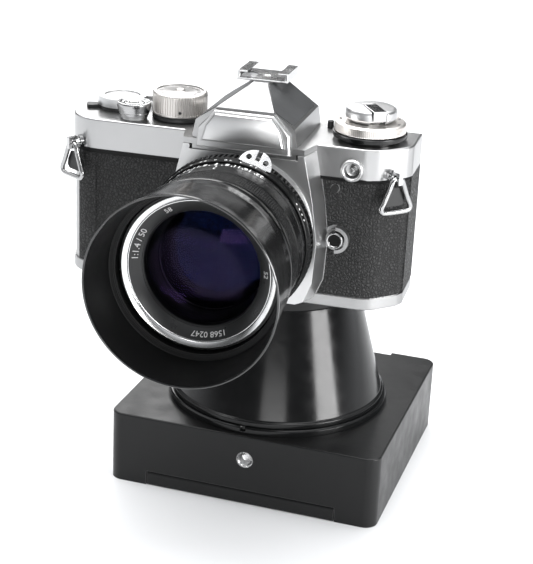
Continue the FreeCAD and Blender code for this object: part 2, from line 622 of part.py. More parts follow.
def make_pressure_plate():
    plate = box(-24, 24, 12.4, 13.4, 19.0, 48.0)
    for x in (-14, 14):
        plate = plate.fuse(box(x - 5, x + 5, 13.4, BACK - DOOR_T, 28, 39))
    return plate.removeSplitter()


save_cam("back_door", make_door())
save_cam("door_hinge", make_hinge_knuckle())
save_cam("pressure_plate", make_pressure_plate())


# ---------------------------------------------------------------- camera: eyepiece, shoe, small fittings
SHOE_Z, SHOE_Y0, SHOE_Y1 = 86.7, -3.6, 15.0
SHOE_HALF, SHOE_GAP = 9.35, 6.3       # standard accessory foot: 18.6 wide, rails 12.6 apart


def make_eyepiece():
    ring = tube_y(0, EYE_Z, DECK_BACK, 20.5, 10.4, 6.6)
    ring = ring.fuse(tube_y(0, EYE_Z, 6.5, DECK_BACK, 7.8, 6.6))
    return ring.fuse(rod_y(0, EYE_Z, 15.0, 17.0, 6.6)).removeSplitter()


def make_shoe():
    shoe = box(-SHOE_HALF - 1, SHOE_HALF + 1, SHOE_Y0, SHOE_Y1, SHOE_Z, SHOE_Z + 0.8)
    for side in (-1, 1):
        wall = box(SHOE_HALF, SHOE_HALF + 1, SHOE_Y0 + 1, SHOE_Y1, SHOE_Z, SHOE_Z + 3.0)
        lip = box(SHOE_GAP, SHOE_HALF + 1, SHOE_Y0 + 1, SHOE_Y1, SHOE_Z + 2.9, SHOE_Z + 3.6)
        rail = wall.fuse(lip)
        rail = rail if side > 0 else rail.mirror(V(0, 0, 0), X)
        shoe = shoe.fuse(rail)
    shoe = shoe.fuse(post(0, 6, SHOE_Z + 0.7, SHOE_Z + 1.1, 1.6))
    return shoe.removeSplitter()


def make_sync_socket():
    ring = tube_y(SYNC_X, SYNC_Z, -19.6, FRONT, SYNC_R, 2.9)
    ring = ring.fuse(tube_y(SYNC_X, SYNC_Z, FRONT, -14.6, 3.4, 2.9))
    ring = ring.fuse(rod_y(SYNC_X, SYNC_Z, -16.0, -14.6, 3.0))
    return ring.fuse(rod_y(SYNC_X, SYNC_Z, -18.6, -15.0, 1.1)).removeSplitter()


def make_lugs():
    """Strap lugs: a collar on the body with an eyelet that stands out."""
    lugs = []
    for (x, y, z), angle in ((LUG_RIGHT, LUG_RIGHT_TURN), (LUG_LEFT, LUG_LEFT_TURN)):
        collar = Part.makeCylinder(2.6, 1.6, V(0, 0, 0), X)
        stem = Part.makeCylinder(1.5, 5.2, V(0, 0, 0), X)
        eye = box(2.2, 6.6, -0.9, 0.9, -2.4, 2.4).cut(Part.makeCylinder(1.15, 6, V(4.4, -3, 0), Y))
        lug = collar.fuse(stem).cut(Part.makeCylinder(1.15, 6, V(4.4, -3, 0), Y)).fuse(eye)
        lug.rotate(V(0, 0, 0), Z, angle)
        lug.translate(V(x, y, z))
        lugs.append(lug.removeSplitter())
    return Part.makeCompound(lugs)


def make_strap_ring(place, angle):
    """A triangular wire ring hanging from the lug's eye."""
    wire_r = 0.75
    top, foot, half = 0.0, -13.6, 7.2
    spots = [V(0, -1.9, top), V(0, -half + 0.6, foot + 2.2), V(0, -half + 2.4, foot),
             V(0, half - 2.4, foot), V(0, half - 0.6, foot + 2.2), V(0, 1.9, top)]
    ring = None
    for a, b in zip(spots, spots[1:] + spots[:1]):
        piece = Part.makeCylinder(wire_r, (b - a).Length, a, b - a).fuse(Part.makeSphere(wire_r, a))
        ring = piece if ring is None else ring.fuse(piece)
    ring = ring.removeSplitter()
    ring.translate(V(4.4, 0, -0.3))
    ring.rotate(V(0, 0, 0), Z, angle)
    ring.translate(V(*place))
    return ring


save_cam("eyepiece", make_eyepiece())
save_cam("hot_shoe", make_shoe())
save_cam("lens_mount_ring", tube_y(0, AXIS_Z, FLANGE_Y, -33.5, 28.2, 22.0))
save_cam("sync_socket", make_sync_socket())
save_cam("strap_lugs", make_lugs())
save_cam("strap_ring_right", make_strap_ring(LUG_RIGHT, LUG_RIGHT_TURN))
save_cam("strap_ring_left", make_strap_ring(LUG_LEFT, LUG_LEFT_TURN))


# ---------------------------------------------------------------- camera: controls
def make_release_collar():
    collar = turned_z([(0, DECK_Z), (6.2, DECK_Z), (7.1, DECK_Z + 2.6), (7.2, DECK_Z + 3.6),
                       (6.6, DECK_Z + 5.6), (5.2, DECK_Z + 7.2), (0, DECK_Z + 7.2)],
                      BUTTON_X, BUTTON_Y)
    return collar.cut(post(BUTTON_X, BUTTON_Y, DECK_Z - 1, DECK_Z + 8, 4.0 + RUN))


def make_shutter_button():
    button = post(BUTTON_X, BUTTON_Y, DECK_Z + 1.8, DECK_Z + 6.9, 4.0)
    button = button.fuse(post(BUTTON_X, BUTTON_Y, DECK_Z - 4.0, DECK_Z + 1.8, 2.6))
    return button.cut(cone(BUTTON_X, BUTTON_Y, DECK_Z + 3.9, DECK_Z + 7.0, 0.7, 2.0))


def make_shutter_dial():
    low, top = DECK_Z + 2.2, DECK_Z + 11.5
    dial = post(DIAL_X, DIAL_Y, low, top, DIAL_R).fuse(post(DIAL_X, DIAL_Y, DECK_Z + 0.3, low, DIAL_R - 0.9))
    for i in range(30):
        groove = box(DIAL_R - 0.35, DIAL_R + 1, -0.4, 0.4, low + 0.9, top - 1.0)
        groove.rotate(V(0, 0, 0), Z, 12 * i)
        groove.translate(V(DIAL_X, DIAL_Y, 0))
        dial = dial.cut(groove)
    dial = dial.cut(post(DIAL_X, DIAL_Y, top - 0.5, top + 1, 9.6))
    dial = dial.fuse(post(DIAL_X, DIAL_Y, top - 1, top + 0.7, 1.7))
    return dial.fuse(post(DIAL_X, DIAL_Y, DECK_Z - 4.0, low, 2.5)).removeSplitter()


def make_advance_lever():
    z0, z1 = DECK_Z + 1.6, DECK_Z + 5.4
    hub = post(LEVER_X, LEVER_Y, z0, z1, LEVER_R)
    arm = slab([(-3, 3.0), (-7, 8.4), (10, 12.8), (22, 13.6), (24.5, 12.6), (22, 10.0), (10, 6.5)],
               z0 + 0.6, z0 + 2.6)
    arm.translate(V(LEVER_X, LEVER_Y, 0))
    grip = slab([(14, 9.8), (14, 15.2), (25, 16.4), (27.2, 13.4), (25, 10.8)], z0 + 0.2, z0 + 3.2)
    grip.translate(V(LEVER_X, LEVER_Y, 0))
    shaft = post(LEVER_X, LEVER_Y, DECK_Z - 12.0, z0, 3.0)
    lever = hub.fuse(arm).fuse(grip).fuse(shaft)
    return lever.cut(post(LEVER_X, LEVER_Y, z1 - 0.5, z1 + 1, 7.5)).removeSplitter()


def make_iso_dial():
    z0 = DECK_Z + 3.7
    return turned_z([(5.6, z0), (ISO_R, z0), (ISO_R, z0 + 3.3), (13.4, z0 + 4.0), (5.6, z0 + 4.0)],
                    REWIND_X, REWIND_Y)


def make_iso_base():
    step = DECK_Z + 1.5
    ring = tube(REWIND_X, REWIND_Y, DECK_Z, step, 12.5, 5.5)
    ring = ring.fuse(tube(REWIND_X, REWIND_Y, step, step + 1.9, 15.0, 5.5))
    return ring.fuse(tube(REWIND_X, REWIND_Y, DECK_Z, DECK_Z + 7.2, 5.5, 4.6)).removeSplitter()


def make_rewind_sleeve():
    return tube(REWIND_X, REWIND_Y, DECK_Z - 6.0, KNOB_Z - 0.1, 4.5, 2.5 + RUN)


def crank_place(shape):
    """From the crank's own axes, folded towards -x, to its place on the knob."""
    shape.rotate(V(0, 0, 0), Z, CRANK_TURN)
    shape.translate(V(REWIND_X, REWIND_Y, 0))
    return shape


def crank_pin(r):
    return crank_place(Part.makeCylinder(r, 8.4, V(1.4, -4.2, CRANK_Z), Y))


def make_rewind_knob():
    knob = turned_z([(0, KNOB_Z), (8.8, KNOB_Z), (8.8, KNOB_Z + 0.8), (KNOB_R - 0.4, KNOB_Z + 0.9),
                     (KNOB_R, KNOB_Z + 1.5), (KNOB_R, KNOB_Z + 3.8), (KNOB_R - 0.5, KNOB_Z + 4.8),
                     (KNOB_R - 1.5, KNOB_Z + 5.3), (0, KNOB_Z + 5.5)], REWIND_X, REWIND_Y)
    knob = knob.cut(crank_place(box(-6.2, 4.1, -3.0, 3.0, KNOB_Z + 2.4, KNOB_Z + 7)))
    knob = knob.cut(crank_place(box(-KNOB_R - 1, -6.0, -3.2, 3.2, KNOB_Z - 1, KNOB_Z + 7)))
    shaft = post(REWIND_X, REWIND_Y, 38.0, KNOB_Z, 2.5)
    fork = box(-3.2, 3.2, -0.9, 0.9, 36.0, 42.0)
    fork.translate(V(REWIND_X, REWIND_Y, 0))
    return knob.fuse(shaft).fuse(fork).fuse(crank_pin(PIN_R)).removeSplitter()


def make_crank():
    """A folding arm whose rounded end hangs over the knob's rim."""
    arm = box(-8.6, 1.4, -2.7, 2.7, CRANK_Z - 1.2, CRANK_Z + 1.6)
    arm = arm.fuse(Part.makeCylinder(1.6, 5.4, V(1.4, -2.7, CRANK_Z), Y))
    arm = arm.fuse(box(-10.5, -7.0, -2.7, 2.7, KNOB_Z + 1.6, CRANK_Z + 1.6))
    return crank_place(arm).cut(crank_pin(PIN_R + RUN)).removeSplitter()


def make_lens_release():
    button = rod_y(RELEASE_X, RELEASE_Z, -21.4, -12.5, 3.4)
    return button.cut(rod_y(RELEASE_X, RELEASE_Z, -22, -20.9, 2.5))


save_cam("release_collar", make_release_collar())
save_cam("shutter_button", make_shutter_button())
save_cam("shutter_dial", make_shutter_dial())
save_cam("advance_lever", make_advance_lever())
save_cam("film_speed_base", make_iso_base())
save_cam("film_speed_dial", make_iso_dial())
save_cam("film_speed_lock", post(LOCK_X, LOCK_Y, DECK_Z - 3.0, DECK_Z + 3.4, LOCK_R))
save_cam("rewind_sleeve", make_rewind_sleeve())
save_cam("rewind_knob", make_rewind_knob())
save_cam("rewind_crank", make_crank())
save_cam("lens_release_button", make_lens_release())
save_cam("flash_button", rod_y(FLASH_X, FLASH_Z, -19.0, -13.8, 1.5))
BATTERY_CAP = post(BATTERY_X, -4, 0.05, 8.0, 7.2)
COIN_SLOT = box(BATTERY_X - 5, BATTERY_X + 5, -4.6, -3.4, -1, 0.9)
save_cam("battery_cap", BATTERY_CAP.cut(COIN_SLOT))
save_cam("rewind_release_button", post(SPROCKET_X - 2, 8, 0.3, 6.6, 2.0))


# ---------------------------------------------------------------- lens
def make_barrel():
    """Fixed barrel: rear flange, waist under the rings, and a bore for the sliding cell."""
    barrel = turned_y([(CELL_R + RUN, FLANGE_Y), (31.2, FLANGE_Y), (31.6, FLANGE_Y - 0.8), (31.0, -39.8),
                       (BARREL_R, -39.8), (BARREL_R, -48.4), (31.4, -48.4), (31.4, -51.6), (BARREL_R, -51.6),
                       (BARREL_R, -71.0), (CELL_R + RUN, -71.0)])
    return barrel


def make_aperture_ring():
    ring = tube_y(0, AXIS_Z, APERTURE_Y0 + 0.2, APERTURE_Y1 - 0.1, APERTURE_R, BARREL_R + RUN)
    for i in range(24):
        scallop = rod_y(APERTURE_R + 1.2, AXIS_Z, APERTURE_Y1 - 4.2, APERTURE_Y1 + 1, 2.0)
        scallop.rotate(V(0, 0, AXIS_Z), Y, 15 * i)
        ring = ring.cut(scallop)
    return ring.removeSplitter()


FORK_TURN = 17.0


def make_meter_fork():
    """Two-eared coupling prong that stands on the aperture ring."""
    plate = rod_y(0, 0, -0.5, 0.5, 6.6).common(box(-8, 8, -1, 1, 0, 8))
    plate = plate.cut(box(-0.9, 0.9, -1, 1, 2.2, 9))
    for side in (-1, 1):
        plate = plate.cut(rod_y(side * 3.5, 2.7, -1, 1, 1.1))
    foot = box(-5.0, 5.0, -0.5, 2.4, -0.2, 0.8)
    plate = plate.fuse(foot)
    plate.rotate(V(0, 0, 0), X, -42)
    plate.translate(V(0, -45.4, AXIS_Z + APERTURE_R - 1.0))
    plate.rotate(V(0, 0, AXIS_Z), Y, FORK_TURN)
    return plate.removeSplitter()


def make_focus_ring():
    ring = tube_y(0, AXIS_Z, FOCUS_Y0, FOCUS_Y1 - 0.1, FOCUS_R, BARREL_R + RUN)
    for i in range(48):
        groove = box(FOCUS_R - 0.5, FOCUS_R + 1, FOCUS_Y0 + 1.4, FOCUS_Y1 - 2.0, -0.55, 0.55)
        groove.translate(V(0, 0, AXIS_Z))
        groove.rotate(V(0, 0, AXIS_Z), Y, 7.5 * i)
        ring = ring.cut(groove)
    return ring.removeSplitter()


def make_front_barrel():
    """Sliding cell that carries the glass, flared at the front into the name ring's cone."""
    return turned_y([(BORE_R, -44.0), (CELL_R, -44.0), (CELL_R, -72.0), (31.0, -72.0), (31.0, FRONT_Y + 0.6),
                     (30.4, FRONT_Y), (CHROME_R, FRONT_Y), (CHROME_R - 0.3, FRONT_Y - 1.0),
                     (NAME_R + 0.5, FRONT_Y - 0.9), (NAME_R, FRONT_Y), (22.8, -80.6), (BORE_R, -80.6)])


def make_elements():
    ball = Part.makeSphere(60.0, V(0, -81.0 + 60.0, AXIS_Z))
    front = rod_y(0, AXIS_Z, -82.0, -73.0, BORE_R - 0.05).common(ball)
    rear = rod_y(0, AXIS_Z, -50.0, -44.4, BORE_R - 0.05)
    return Part.makeCompound([front, rear])


def make_iris():
    """Nine blades, closed a little, as one thin stack."""
    stack = rod_y(0, AXIS_Z, -62.0, -61.0, BORE_R - 0.05)
    edge = [(11.0 * math.cos(math.radians(40 * i)), AXIS_Z + 11.0 * math.sin(math.radians(40 * i)))
            for i in range(9)]
    return stack.cut(front_plate(edge, -64, -59))


def make_hood():
    return turned_y([(31.05, -73.0), (32.6, -73.0), (33.4, -75.0), (33.8, -84.0), (HOOD_R, HOOD_Y),
                     (HOOD_R - 0.9, HOOD_Y), (33.0, -88.0), (31.05, -87.0)])


save_cam("lens_barrel", make_barrel())
save_cam("aperture_ring", make_aperture_ring())
save_cam("meter_fork", make_meter_fork())
save_cam("focus_ring", make_focus_ring())
save_cam("front_barrel", make_front_barrel())
save_cam("lens_elements", make_elements())
save_cam("iris_blades", make_iris())
save_cam("lens_hood", make_hood())
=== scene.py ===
import math

import bmesh
import bpy
from mathutils import Matrix, Vector


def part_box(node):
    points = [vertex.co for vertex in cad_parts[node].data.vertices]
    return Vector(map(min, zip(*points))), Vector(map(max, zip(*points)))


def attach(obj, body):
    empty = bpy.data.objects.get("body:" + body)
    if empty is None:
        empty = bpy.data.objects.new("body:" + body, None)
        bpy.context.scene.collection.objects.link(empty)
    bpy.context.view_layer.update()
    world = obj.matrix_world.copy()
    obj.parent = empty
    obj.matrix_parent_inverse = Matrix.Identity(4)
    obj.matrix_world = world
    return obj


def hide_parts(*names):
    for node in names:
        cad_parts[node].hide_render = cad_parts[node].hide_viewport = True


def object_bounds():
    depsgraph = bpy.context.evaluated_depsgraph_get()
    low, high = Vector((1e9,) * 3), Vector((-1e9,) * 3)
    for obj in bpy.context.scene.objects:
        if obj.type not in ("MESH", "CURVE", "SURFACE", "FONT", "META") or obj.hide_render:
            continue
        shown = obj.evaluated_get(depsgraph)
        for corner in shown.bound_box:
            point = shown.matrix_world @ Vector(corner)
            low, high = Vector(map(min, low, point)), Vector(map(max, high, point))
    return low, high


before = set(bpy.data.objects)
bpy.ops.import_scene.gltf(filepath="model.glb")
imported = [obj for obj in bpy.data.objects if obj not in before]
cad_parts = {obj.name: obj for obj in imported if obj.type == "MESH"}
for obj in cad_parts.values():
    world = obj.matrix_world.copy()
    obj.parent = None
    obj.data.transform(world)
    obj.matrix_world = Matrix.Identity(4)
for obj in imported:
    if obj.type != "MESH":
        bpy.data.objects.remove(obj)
CAD_LOW, CAD_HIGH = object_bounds()

# Looks of a 35 mm reflex camera on a conical swivel neck and a square box base.
# Camera pieces are drawn in the camera's own millimetres: x from the lens axis, y from the middle of
# the body (the lens looks along -y), z from the camera's underside. Stand pieces are drawn in
# millimetres from the neck's axis, with z from the ground.
MM = 0.001
hood_low, hood_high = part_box("lens_hood")
cover_low, cover_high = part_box("bottom_cover")
BODY_HALF = 17.5                                   # leather plane to body middle
CAM = Vector(((hood_low.x + hood_high.x) / 2, cover_low.y + BODY_HALF * MM, cover_low.z))
AXIS_Z = ((hood_low.z + hood_high.z) / 2 - CAM.z) / MM


# ---------------------------------------------------------------- materials
class Nodes:
    """A short way to write one material's node tree."""

    def __init__(self, name):
        self.material = bpy.data.materials.new(name)
        self.material.use_nodes = True
        self.tree = self.material.node_tree
        self.shader = self.tree.nodes["Principled BSDF"]
        self.position = self.tree.nodes.new("ShaderNodeTexCoord").outputs["Object"]

    def link(self, source, target):
        self.tree.links.new(source, target)

    def node(self, kind, values=None, **settings):
        made = self.tree.nodes.new(kind)
        for key, value in settings.items():
            setattr(made, key, value)
        for key, value in (values or {}).items():
            if isinstance(value, bpy.types.NodeSocket):
                self.link(value, made.inputs[key])
            else:
                made.inputs[key].default_value = value
        return made

    def noise(self, scale, detail=3.0, rough=0.5, vector=None, warp=0.0):
        values = {"Vector": vector or self.position, "Scale": scale, "Detail": detail, "Roughness": rough,
                  "Distortion": warp}
        return self.node("ShaderNodeTexNoise", values).outputs["Fac"]

    def ramp(self, value, low, high, out_low, out_high):
        values = {"Value": value, "From Min": low, "From Max": high, "To Min": out_low, "To Max": out_high}
        return self.node("ShaderNodeMapRange", values).outputs["Result"]

    def mix(self, factor, a, b):
        made = self.node("ShaderNodeMix", data_type="RGBA")
        for socket, value in ((made.inputs[0], factor), (made.inputs[6], a), (made.inputs[7], b)):
            if isinstance(value, bpy.types.NodeSocket):
                self.link(value, socket)
            else:
                socket.default_value = value
        return made.outputs[2]

    def math(self, operation, a, b):
        values = {0: a, 1: b}
        return self.node("ShaderNodeMath", values, operation=operation).outputs[0]

    def edge(self, radius, low, high):
        """1 on sharp outer edges, 0 on flat ground: a mask for worn edges and for painted edge highlights."""
        bevel = self.node("ShaderNodeBevel", {"Radius": radius}, samples=4).outputs[0]
        normal = self.node("ShaderNodeNewGeometry").outputs["Normal"]
        dot = self.node("ShaderNodeVectorMath", {0: bevel, 1: normal}, operation="DOT_PRODUCT")
        return self.ramp(dot.outputs["Value"], low, high, 1.0, 0.0)

    def colour(self, value):
        if isinstance(value, bpy.types.NodeSocket):
            self.link(value, self.shader.inputs["Base Color"])
        else:
            self.shader.inputs["Base Color"].default_value = value

    def set(self, **values):
        for key, value in values.items():
            socket = self.shader.inputs[key.replace("_", " ")]
            if isinstance(value, bpy.types.NodeSocket):
                self.link(value, socket)
            else:
                socket.default_value = value

    def bump(self, height, distance, strength=1.0):
        values = {"Height": height, "Distance": distance * MM, "Strength": strength}
        previous = self.shader.inputs["Normal"]
        if previous.is_linked:
            values["Normal"] = previous.links[0].from_socket
        self.link(self.node("ShaderNodeBump", values).outputs["Normal"], previous)


def grey(value, warm=0.0):
    return (value * (1 + warm), value, value * (1 - warm), 1.0)


PLATING_SPREAD = 0.02        # how far a plated metal's roughness wanders


def metal(name, light, rough, grain=0.012, warm=0.0):
    """Satin or polished metal with a fine blasted grain and faint handling marks."""
    n = Nodes(name)
    cloud = n.noise(60, 4)
    n.colour(n.mix(cloud, grey(light * 0.93, warm), grey(min(light * 1.04, 0.97), warm)))
    fine = n.noise(5200, 2)
    low, high = rough - PLATING_SPREAD, rough + PLATING_SPREAD
    n.set(Metallic=1.0, Roughness=n.ramp(n.noise(170, 5), 0.3, 0.7, low, high))
    n.bump(fine, grain)
    return n.material


BARE_EDGE = 0.28             # grey of the metal that shows where the black has worn


def black_metal(name, light, rough, grain=0.01, coat=0.0, wear=0.0, shine=0.35):
    """Black anodised or enamelled metal. It reflects softly, with dust-fine grain."""
    n = Nodes(name)
    cloud = n.noise(90, 5)
    base = n.mix(cloud, grey(light * 0.8, -0.03), grey(light * 1.25, -0.03))
    if wear:
        patches = n.ramp(n.noise(300, 4), 0.42, 0.62, 0.0, 1.0)
        rubbed = n.math("MULTIPLY", n.edge(0.35 * MM, 0.86, 0.985), patches)
        base = n.mix(n.math("MULTIPLY", rubbed, wear), base, grey(BARE_EDGE))
    n.colour(base)
    n.set(Roughness=n.ramp(n.noise(220, 4), 0.3, 0.7, rough - 0.03, rough + 0.03), Specular_IOR_Level=shine,
          Coat_Weight=coat, Coat_Roughness=0.12)
    n.bump(n.noise(4300, 2), grain)
    return n.material


def leather_material(name, light):
    """Pebbled black covering: cells of two sizes with creases between them. The creases are also painted
    darker, as painted shade in the folds.
    """
    n = Nodes(name)
    warp = n.node("ShaderNodeTexNoise", {"Vector": n.position, "Scale": 900.0, "Detail": 2.0})
    bent = n.node("ShaderNodeVectorMath", {0: warp.outputs["Color"], 1: (0.0007, 0.0007, 0.0007)},
                  operation="MULTIPLY").outputs[0]
    place = n.node("ShaderNodeVectorMath", {0: n.position, 1: bent}, operation="ADD").outputs[0]
    large = n.node("ShaderNodeTexVoronoi", {"Vector": place, "Scale": 760.0}, feature="DISTANCE_TO_EDGE")
    small = n.node("ShaderNodeTexVoronoi", {"Vector": place, "Scale": 1900.0}, feature="F1")
    crease_and_shade = n.ramp(large.outputs["Distance"], 0.0, 0.3, 0.0, 1.0)
    # Painted shade: the colour falls to a fifth of the cell colour in the creases.
    n.colour(n.mix(crease_and_shade, grey(light * 0.2), grey(light)))
    n.set(Roughness=n.ramp(crease_and_shade, 0.0, 1.0, 0.75, 0.42), Specular_IOR_Level=0.45)
    n.bump(n.math("SUBTRACT", 1.0, small.outputs["Distance"]), 0.08)
    n.bump(crease_and_shade, 0.3)
    return n.material


def paint(name, light, rough, grain=0.03):
    """Powder-coated black box: a soft orange-peel skin, with its sharp edges painted a little lighter as a
    painted edge highlight.
    """
    n = Nodes(name)
    cloud = n.noise(35, 4)
    edge = n.edge(0.5 * MM, 0.84, 0.99)
    base = n.mix(cloud, grey(light * 0.9, -0.03), grey(light * 1.12, -0.03))
    # Painted highlight: every sharp edge is mixed half-way towards a lighter grey.
    n.colour(n.mix(n.math("MULTIPLY", edge, 0.5), base, grey(0.13)))
    n.set(Roughness=n.ramp(n.noise(120, 4), 0.3, 0.7, rough - 0.05, rough + 0.06), Specular_IOR_Level=0.3)
    n.bump(n.noise(1500, 3), grain)
    return n.material


def plastic(name, light, rough):
    n = Nodes(name)
    n.colour(n.mix(n.noise(140, 4), grey(light * 0.8), grey(light * 1.2)))
    n.set(Roughness=n.ramp(n.noise(200, 3), 0.3, 0.7, rough - 0.05, rough + 0.05))
    n.bump(n.noise(2600, 2), 0.012)
    return n.material


def clear_glass(name, tint):
    n = Nodes(name)
    n.colour(tint)
    n.set(Roughness=n.ramp(n.noise(80, 3), 0.3, 0.7, 0.0, 0.015), IOR=1.5, Transmission_Weight=1.0)
    return n.material


def coated_glass(name, tint, body, clear, shine):
    """Lens glass: its coating tints what it reflects, and its body colour takes away light. A dark body is
    painted shade for the dark inside of the lens.
    """
    n = Nodes(name)
    n.colour(n.mix(n.noise(60, 2), tuple(0.96 * c for c in body[:3]) + (1,), body))
    n.set(Roughness=n.ramp(n.noise(90, 3), 0.3, 0.7, 0.0, 0.02), IOR=1.55, Transmission_Weight=clear,
          Specular_IOR_Level=shine, Specular_Tint=tint)
    return n.material


def ink(name, light):
    n = Nodes(name)
    n.colour(n.mix(n.noise(700, 3), grey(light * 0.9), grey(light * 1.08)))
    n.set(Roughness=n.ramp(n.noise(500, 3), 0.3, 0.7, 0.4, 0.6))
    return n.material


M = {}


def make_materials():
    M["satin"] = metal("satin_chrome", 0.48, 0.3, grain=0.010)
    M["satin_bright"] = metal("satin_chrome_bright", 0.62, 0.32, grain=0.008)
    M["chrome"] = metal("bright_steel", 0.6, 0.13, grain=0.0015)
    M["steel"] = metal("steel", 0.42, 0.24, grain=0.008)
    M["dial"] = metal("dial_metal", 0.70, 0.33, grain=0.008, warm=0.04)
    M["alloy"] = metal("cast_alloy", 0.38, 0.36, grain=0.02)
    M["brass"] = metal("brass", 0.6, 0.3, grain=0.01, warm=0.25)
    M["ballast"] = metal("ballast", 0.3, 0.5, grain=0.05)
    M["grey_panel"] = black_metal("grey_panel", 0.04, 0.45, shine=0.3)
    M["black"] = black_metal("black_anodised", 0.006, 0.27, wear=0.3)
    M["black_deep"] = black_metal("black_matt", 0.002, 0.5, shine=0.2)
    M["neck"] = black_metal("neck_black", 0.006, 0.17, grain=0.004, shine=0.3)
    M["enamel"] = black_metal("black_enamel", 0.004, 0.2, coat=0.2)
    M["paint"] = paint("black_paint", 0.006, 0.36)
    M["leather"] = leather_material("leatherette", 0.014)
    M["plastic"] = plastic("black_plastic", 0.008, 0.42)
    M["rubber"] = plastic("rubber", 0.012, 0.7)
    M["glass"] = clear_glass("glass", (0.95, 0.97, 0.98, 1))
    M["mirror"] = metal("mirror", 0.93, 0.03, grain=0.0)
    M["hood"] = black_metal("hood_black", 0.003, 0.17, grain=0.002, shine=0.14)
    M["hood_lip"] = black_metal("hood_lip", 0.006, 0.14, grain=0.001, shine=0.9)
    M["hood_inside"] = black_metal("hood_inside", 0.002, 0.45, shine=0.25)
    M["ring_black"] = black_metal("ring_black", 0.004, 0.26, shine=0.12)
    M["name_ring"] = black_metal("name_ring_black", 0.016, 0.3, shine=0.5)
    M["filter_ring"] = metal("filter_ring", 0.86, 0.2, grain=0.004)
    M["socket"] = metal("socket_steel", 0.75, 0.2, grain=0.004)
    # A darker copy of the dial metal for the dial's recessed top: painted shade that holds back the strong
    # light from above.
    M["dial_top_shaded"] = metal("dial_top_shaded", 0.36, 0.34, grain=0.008, warm=0.02)
    M["white_ink"] = ink("white_ink", 0.75)
    M["black_ink"] = ink("black_ink", 0.012)
    M["glass_front"] = coated_glass("front_glass", (0.07, 0.045, 0.12, 1), (0.9, 0.9, 0.95, 1), 1.0, 0.5)
    # The second and rear elements get dark bodies and the rear one is opaque: painted shade for the dark
    # inside of the lens.
    M["glass_second"] = coated_glass("second_glass", (0.02, 0.05, 0.22, 1), (0.1, 0.1, 0.2, 1), 1.0, 0.5)
    M["glass_rear"] = coated_glass("rear_glass", (0.2, 0.3, 0.9, 1), (0.0005, 0.0005, 0.0015, 1), 0.0, 0.08)


# ---------------------------------------------------------------- mesh helpers
def cam_point(x, y, z):
    return CAM + Vector((x, y, z)) * MM


def finish_mesh(name, bm, materials, sharp=30.0, smooth=True):
    bmesh.ops.recalc_face_normals(bm, faces=bm.faces)
    mesh = bpy.data.meshes.new(name)
    bm.to_mesh(mesh)
    bm.free()
    for material in materials:
        mesh.materials.append(material)
    if smooth:
        mesh.polygons.foreach_set("use_smooth", [True] * len(mesh.polygons))
        mesh.set_sharp_from_angle(angle=math.radians(sharp))
    made = bpy.data.objects.new(name, mesh)
    bpy.context.scene.collection.objects.link(made)
    return made


HARD_EDGE = 28.0             # degrees: a CAD edge sharper than this is eased


def refined(node, body, materials, bevel=0.25, segments=2):
    """The CAD node's own shape, welded, with its true edges eased and its faces smoothed."""
    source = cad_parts[node]
    bm = bmesh.new()
    bm.from_mesh(source.data)
    for layer in list(bm.loops.layers.uv):
        bm.loops.layers.uv.remove(layer)
    bmesh.ops.remove_doubles(bm, verts=bm.verts, dist=1e-6)
    bmesh.ops.dissolve_limit(bm, angle_limit=math.radians(0.6), verts=bm.verts, edges=bm.edges)
    if bevel:
        hard = [e for e in bm.edges if len(e.link_faces) == 2
                and e.calc_face_angle(0.0) > math.radians(HARD_EDGE)]
        bmesh.ops.bevel(bm, geom=hard, offset=bevel * MM, segments=segments, profile=0.5, affect="EDGES",
                        clamp_overlap=True, harden_normals=False)
    for face in bm.faces:
        face.material_index = 0
    made = finish_mesh(node + "_shell", bm, materials, sharp=40.0)
    even = made.modifiers.new("even", "WEIGHTED_NORMAL")
    even.keep_sharp = True
    even.weight = 90
    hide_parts(node)
    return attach(made, body)


def revolve(bm, profile, matrix, count=192, bands=None, wave=None, closed=True):
    """Turns (radius, height) points in mm about matrix's Z. bands gives the material of each stretch;
    wave(radius, height, angle) may push a point out."""
    rings = []
    for r, h in profile:
        if r < 1e-6:
            rings.append([bm.verts.new(matrix @ Vector((0, 0, h * MM)))])
            continue
        ring = []
        for i in range(count):
            a = 2 * math.pi * i / count
            rr = (wave(r, h, a) if wave else r) * MM
            ring.append(bm.verts.new(matrix @ Vector((rr * math.cos(a), rr * math.sin(a), h * MM))))
        rings.append(ring)
    pairs = list(zip(rings, rings[1:] + rings[:1])) if closed else list(zip(rings, rings[1:]))
    for k, (low, high) in enumerate(pairs):
        band = bands[k] if bands and k < len(bands) else 0
        for i in range(count):
            j = (i + 1) % count
            if len(low) == 1 and len(high) == 1:
                continue
            if len(low) == 1:
                corners = (low[0], high[i], high[j])
            elif len(high) == 1:
                corners = (low[i], high[0], low[j])
            else:
                corners = (low[i], high[i], high[j], low[j])
            bm.faces.new(corners).material_index = band


def eased(profile, radius=0.3, steps=3, closed=True):
    """Rounds the corners of a (radius, height) outline."""
    out = []
    count = len(profile)
    for i, (r, h) in enumerate(profile):
        here = Vector((r, h))
        if r < 1e-6 or (not closed and i in (0, count - 1)):
            out.append((r, h))
            continue
        before, after = Vector(profile[i - 1]), Vector(profile[(i + 1) % count])
        a, b = before - here, after - here
        cut = min(radius, a.length * 0.45, b.length * 0.45)
        if cut < 1e-3 or a.angle(b) > math.radians(172):
            out.append((r, h))
            continue
        p, q = here + a.normalized() * cut, here + b.normalized() * cut
        for k in range(steps + 1):
            t = k / steps
            spot = p * (1 - t) ** 2 + here * 2 * t * (1 - t) + q * t ** 2
            out.append((max(spot.x, 0.0), spot.y))
    return out


def lens_matrix(y=0.0):
    """Z of the turned outline runs forwards along the lens axis (towards -y)."""
    turn = Matrix.Rotation(math.radians(90), 4, "X")
    return Matrix.Translation(cam_point(0, y, AXIS_Z)) @ turn


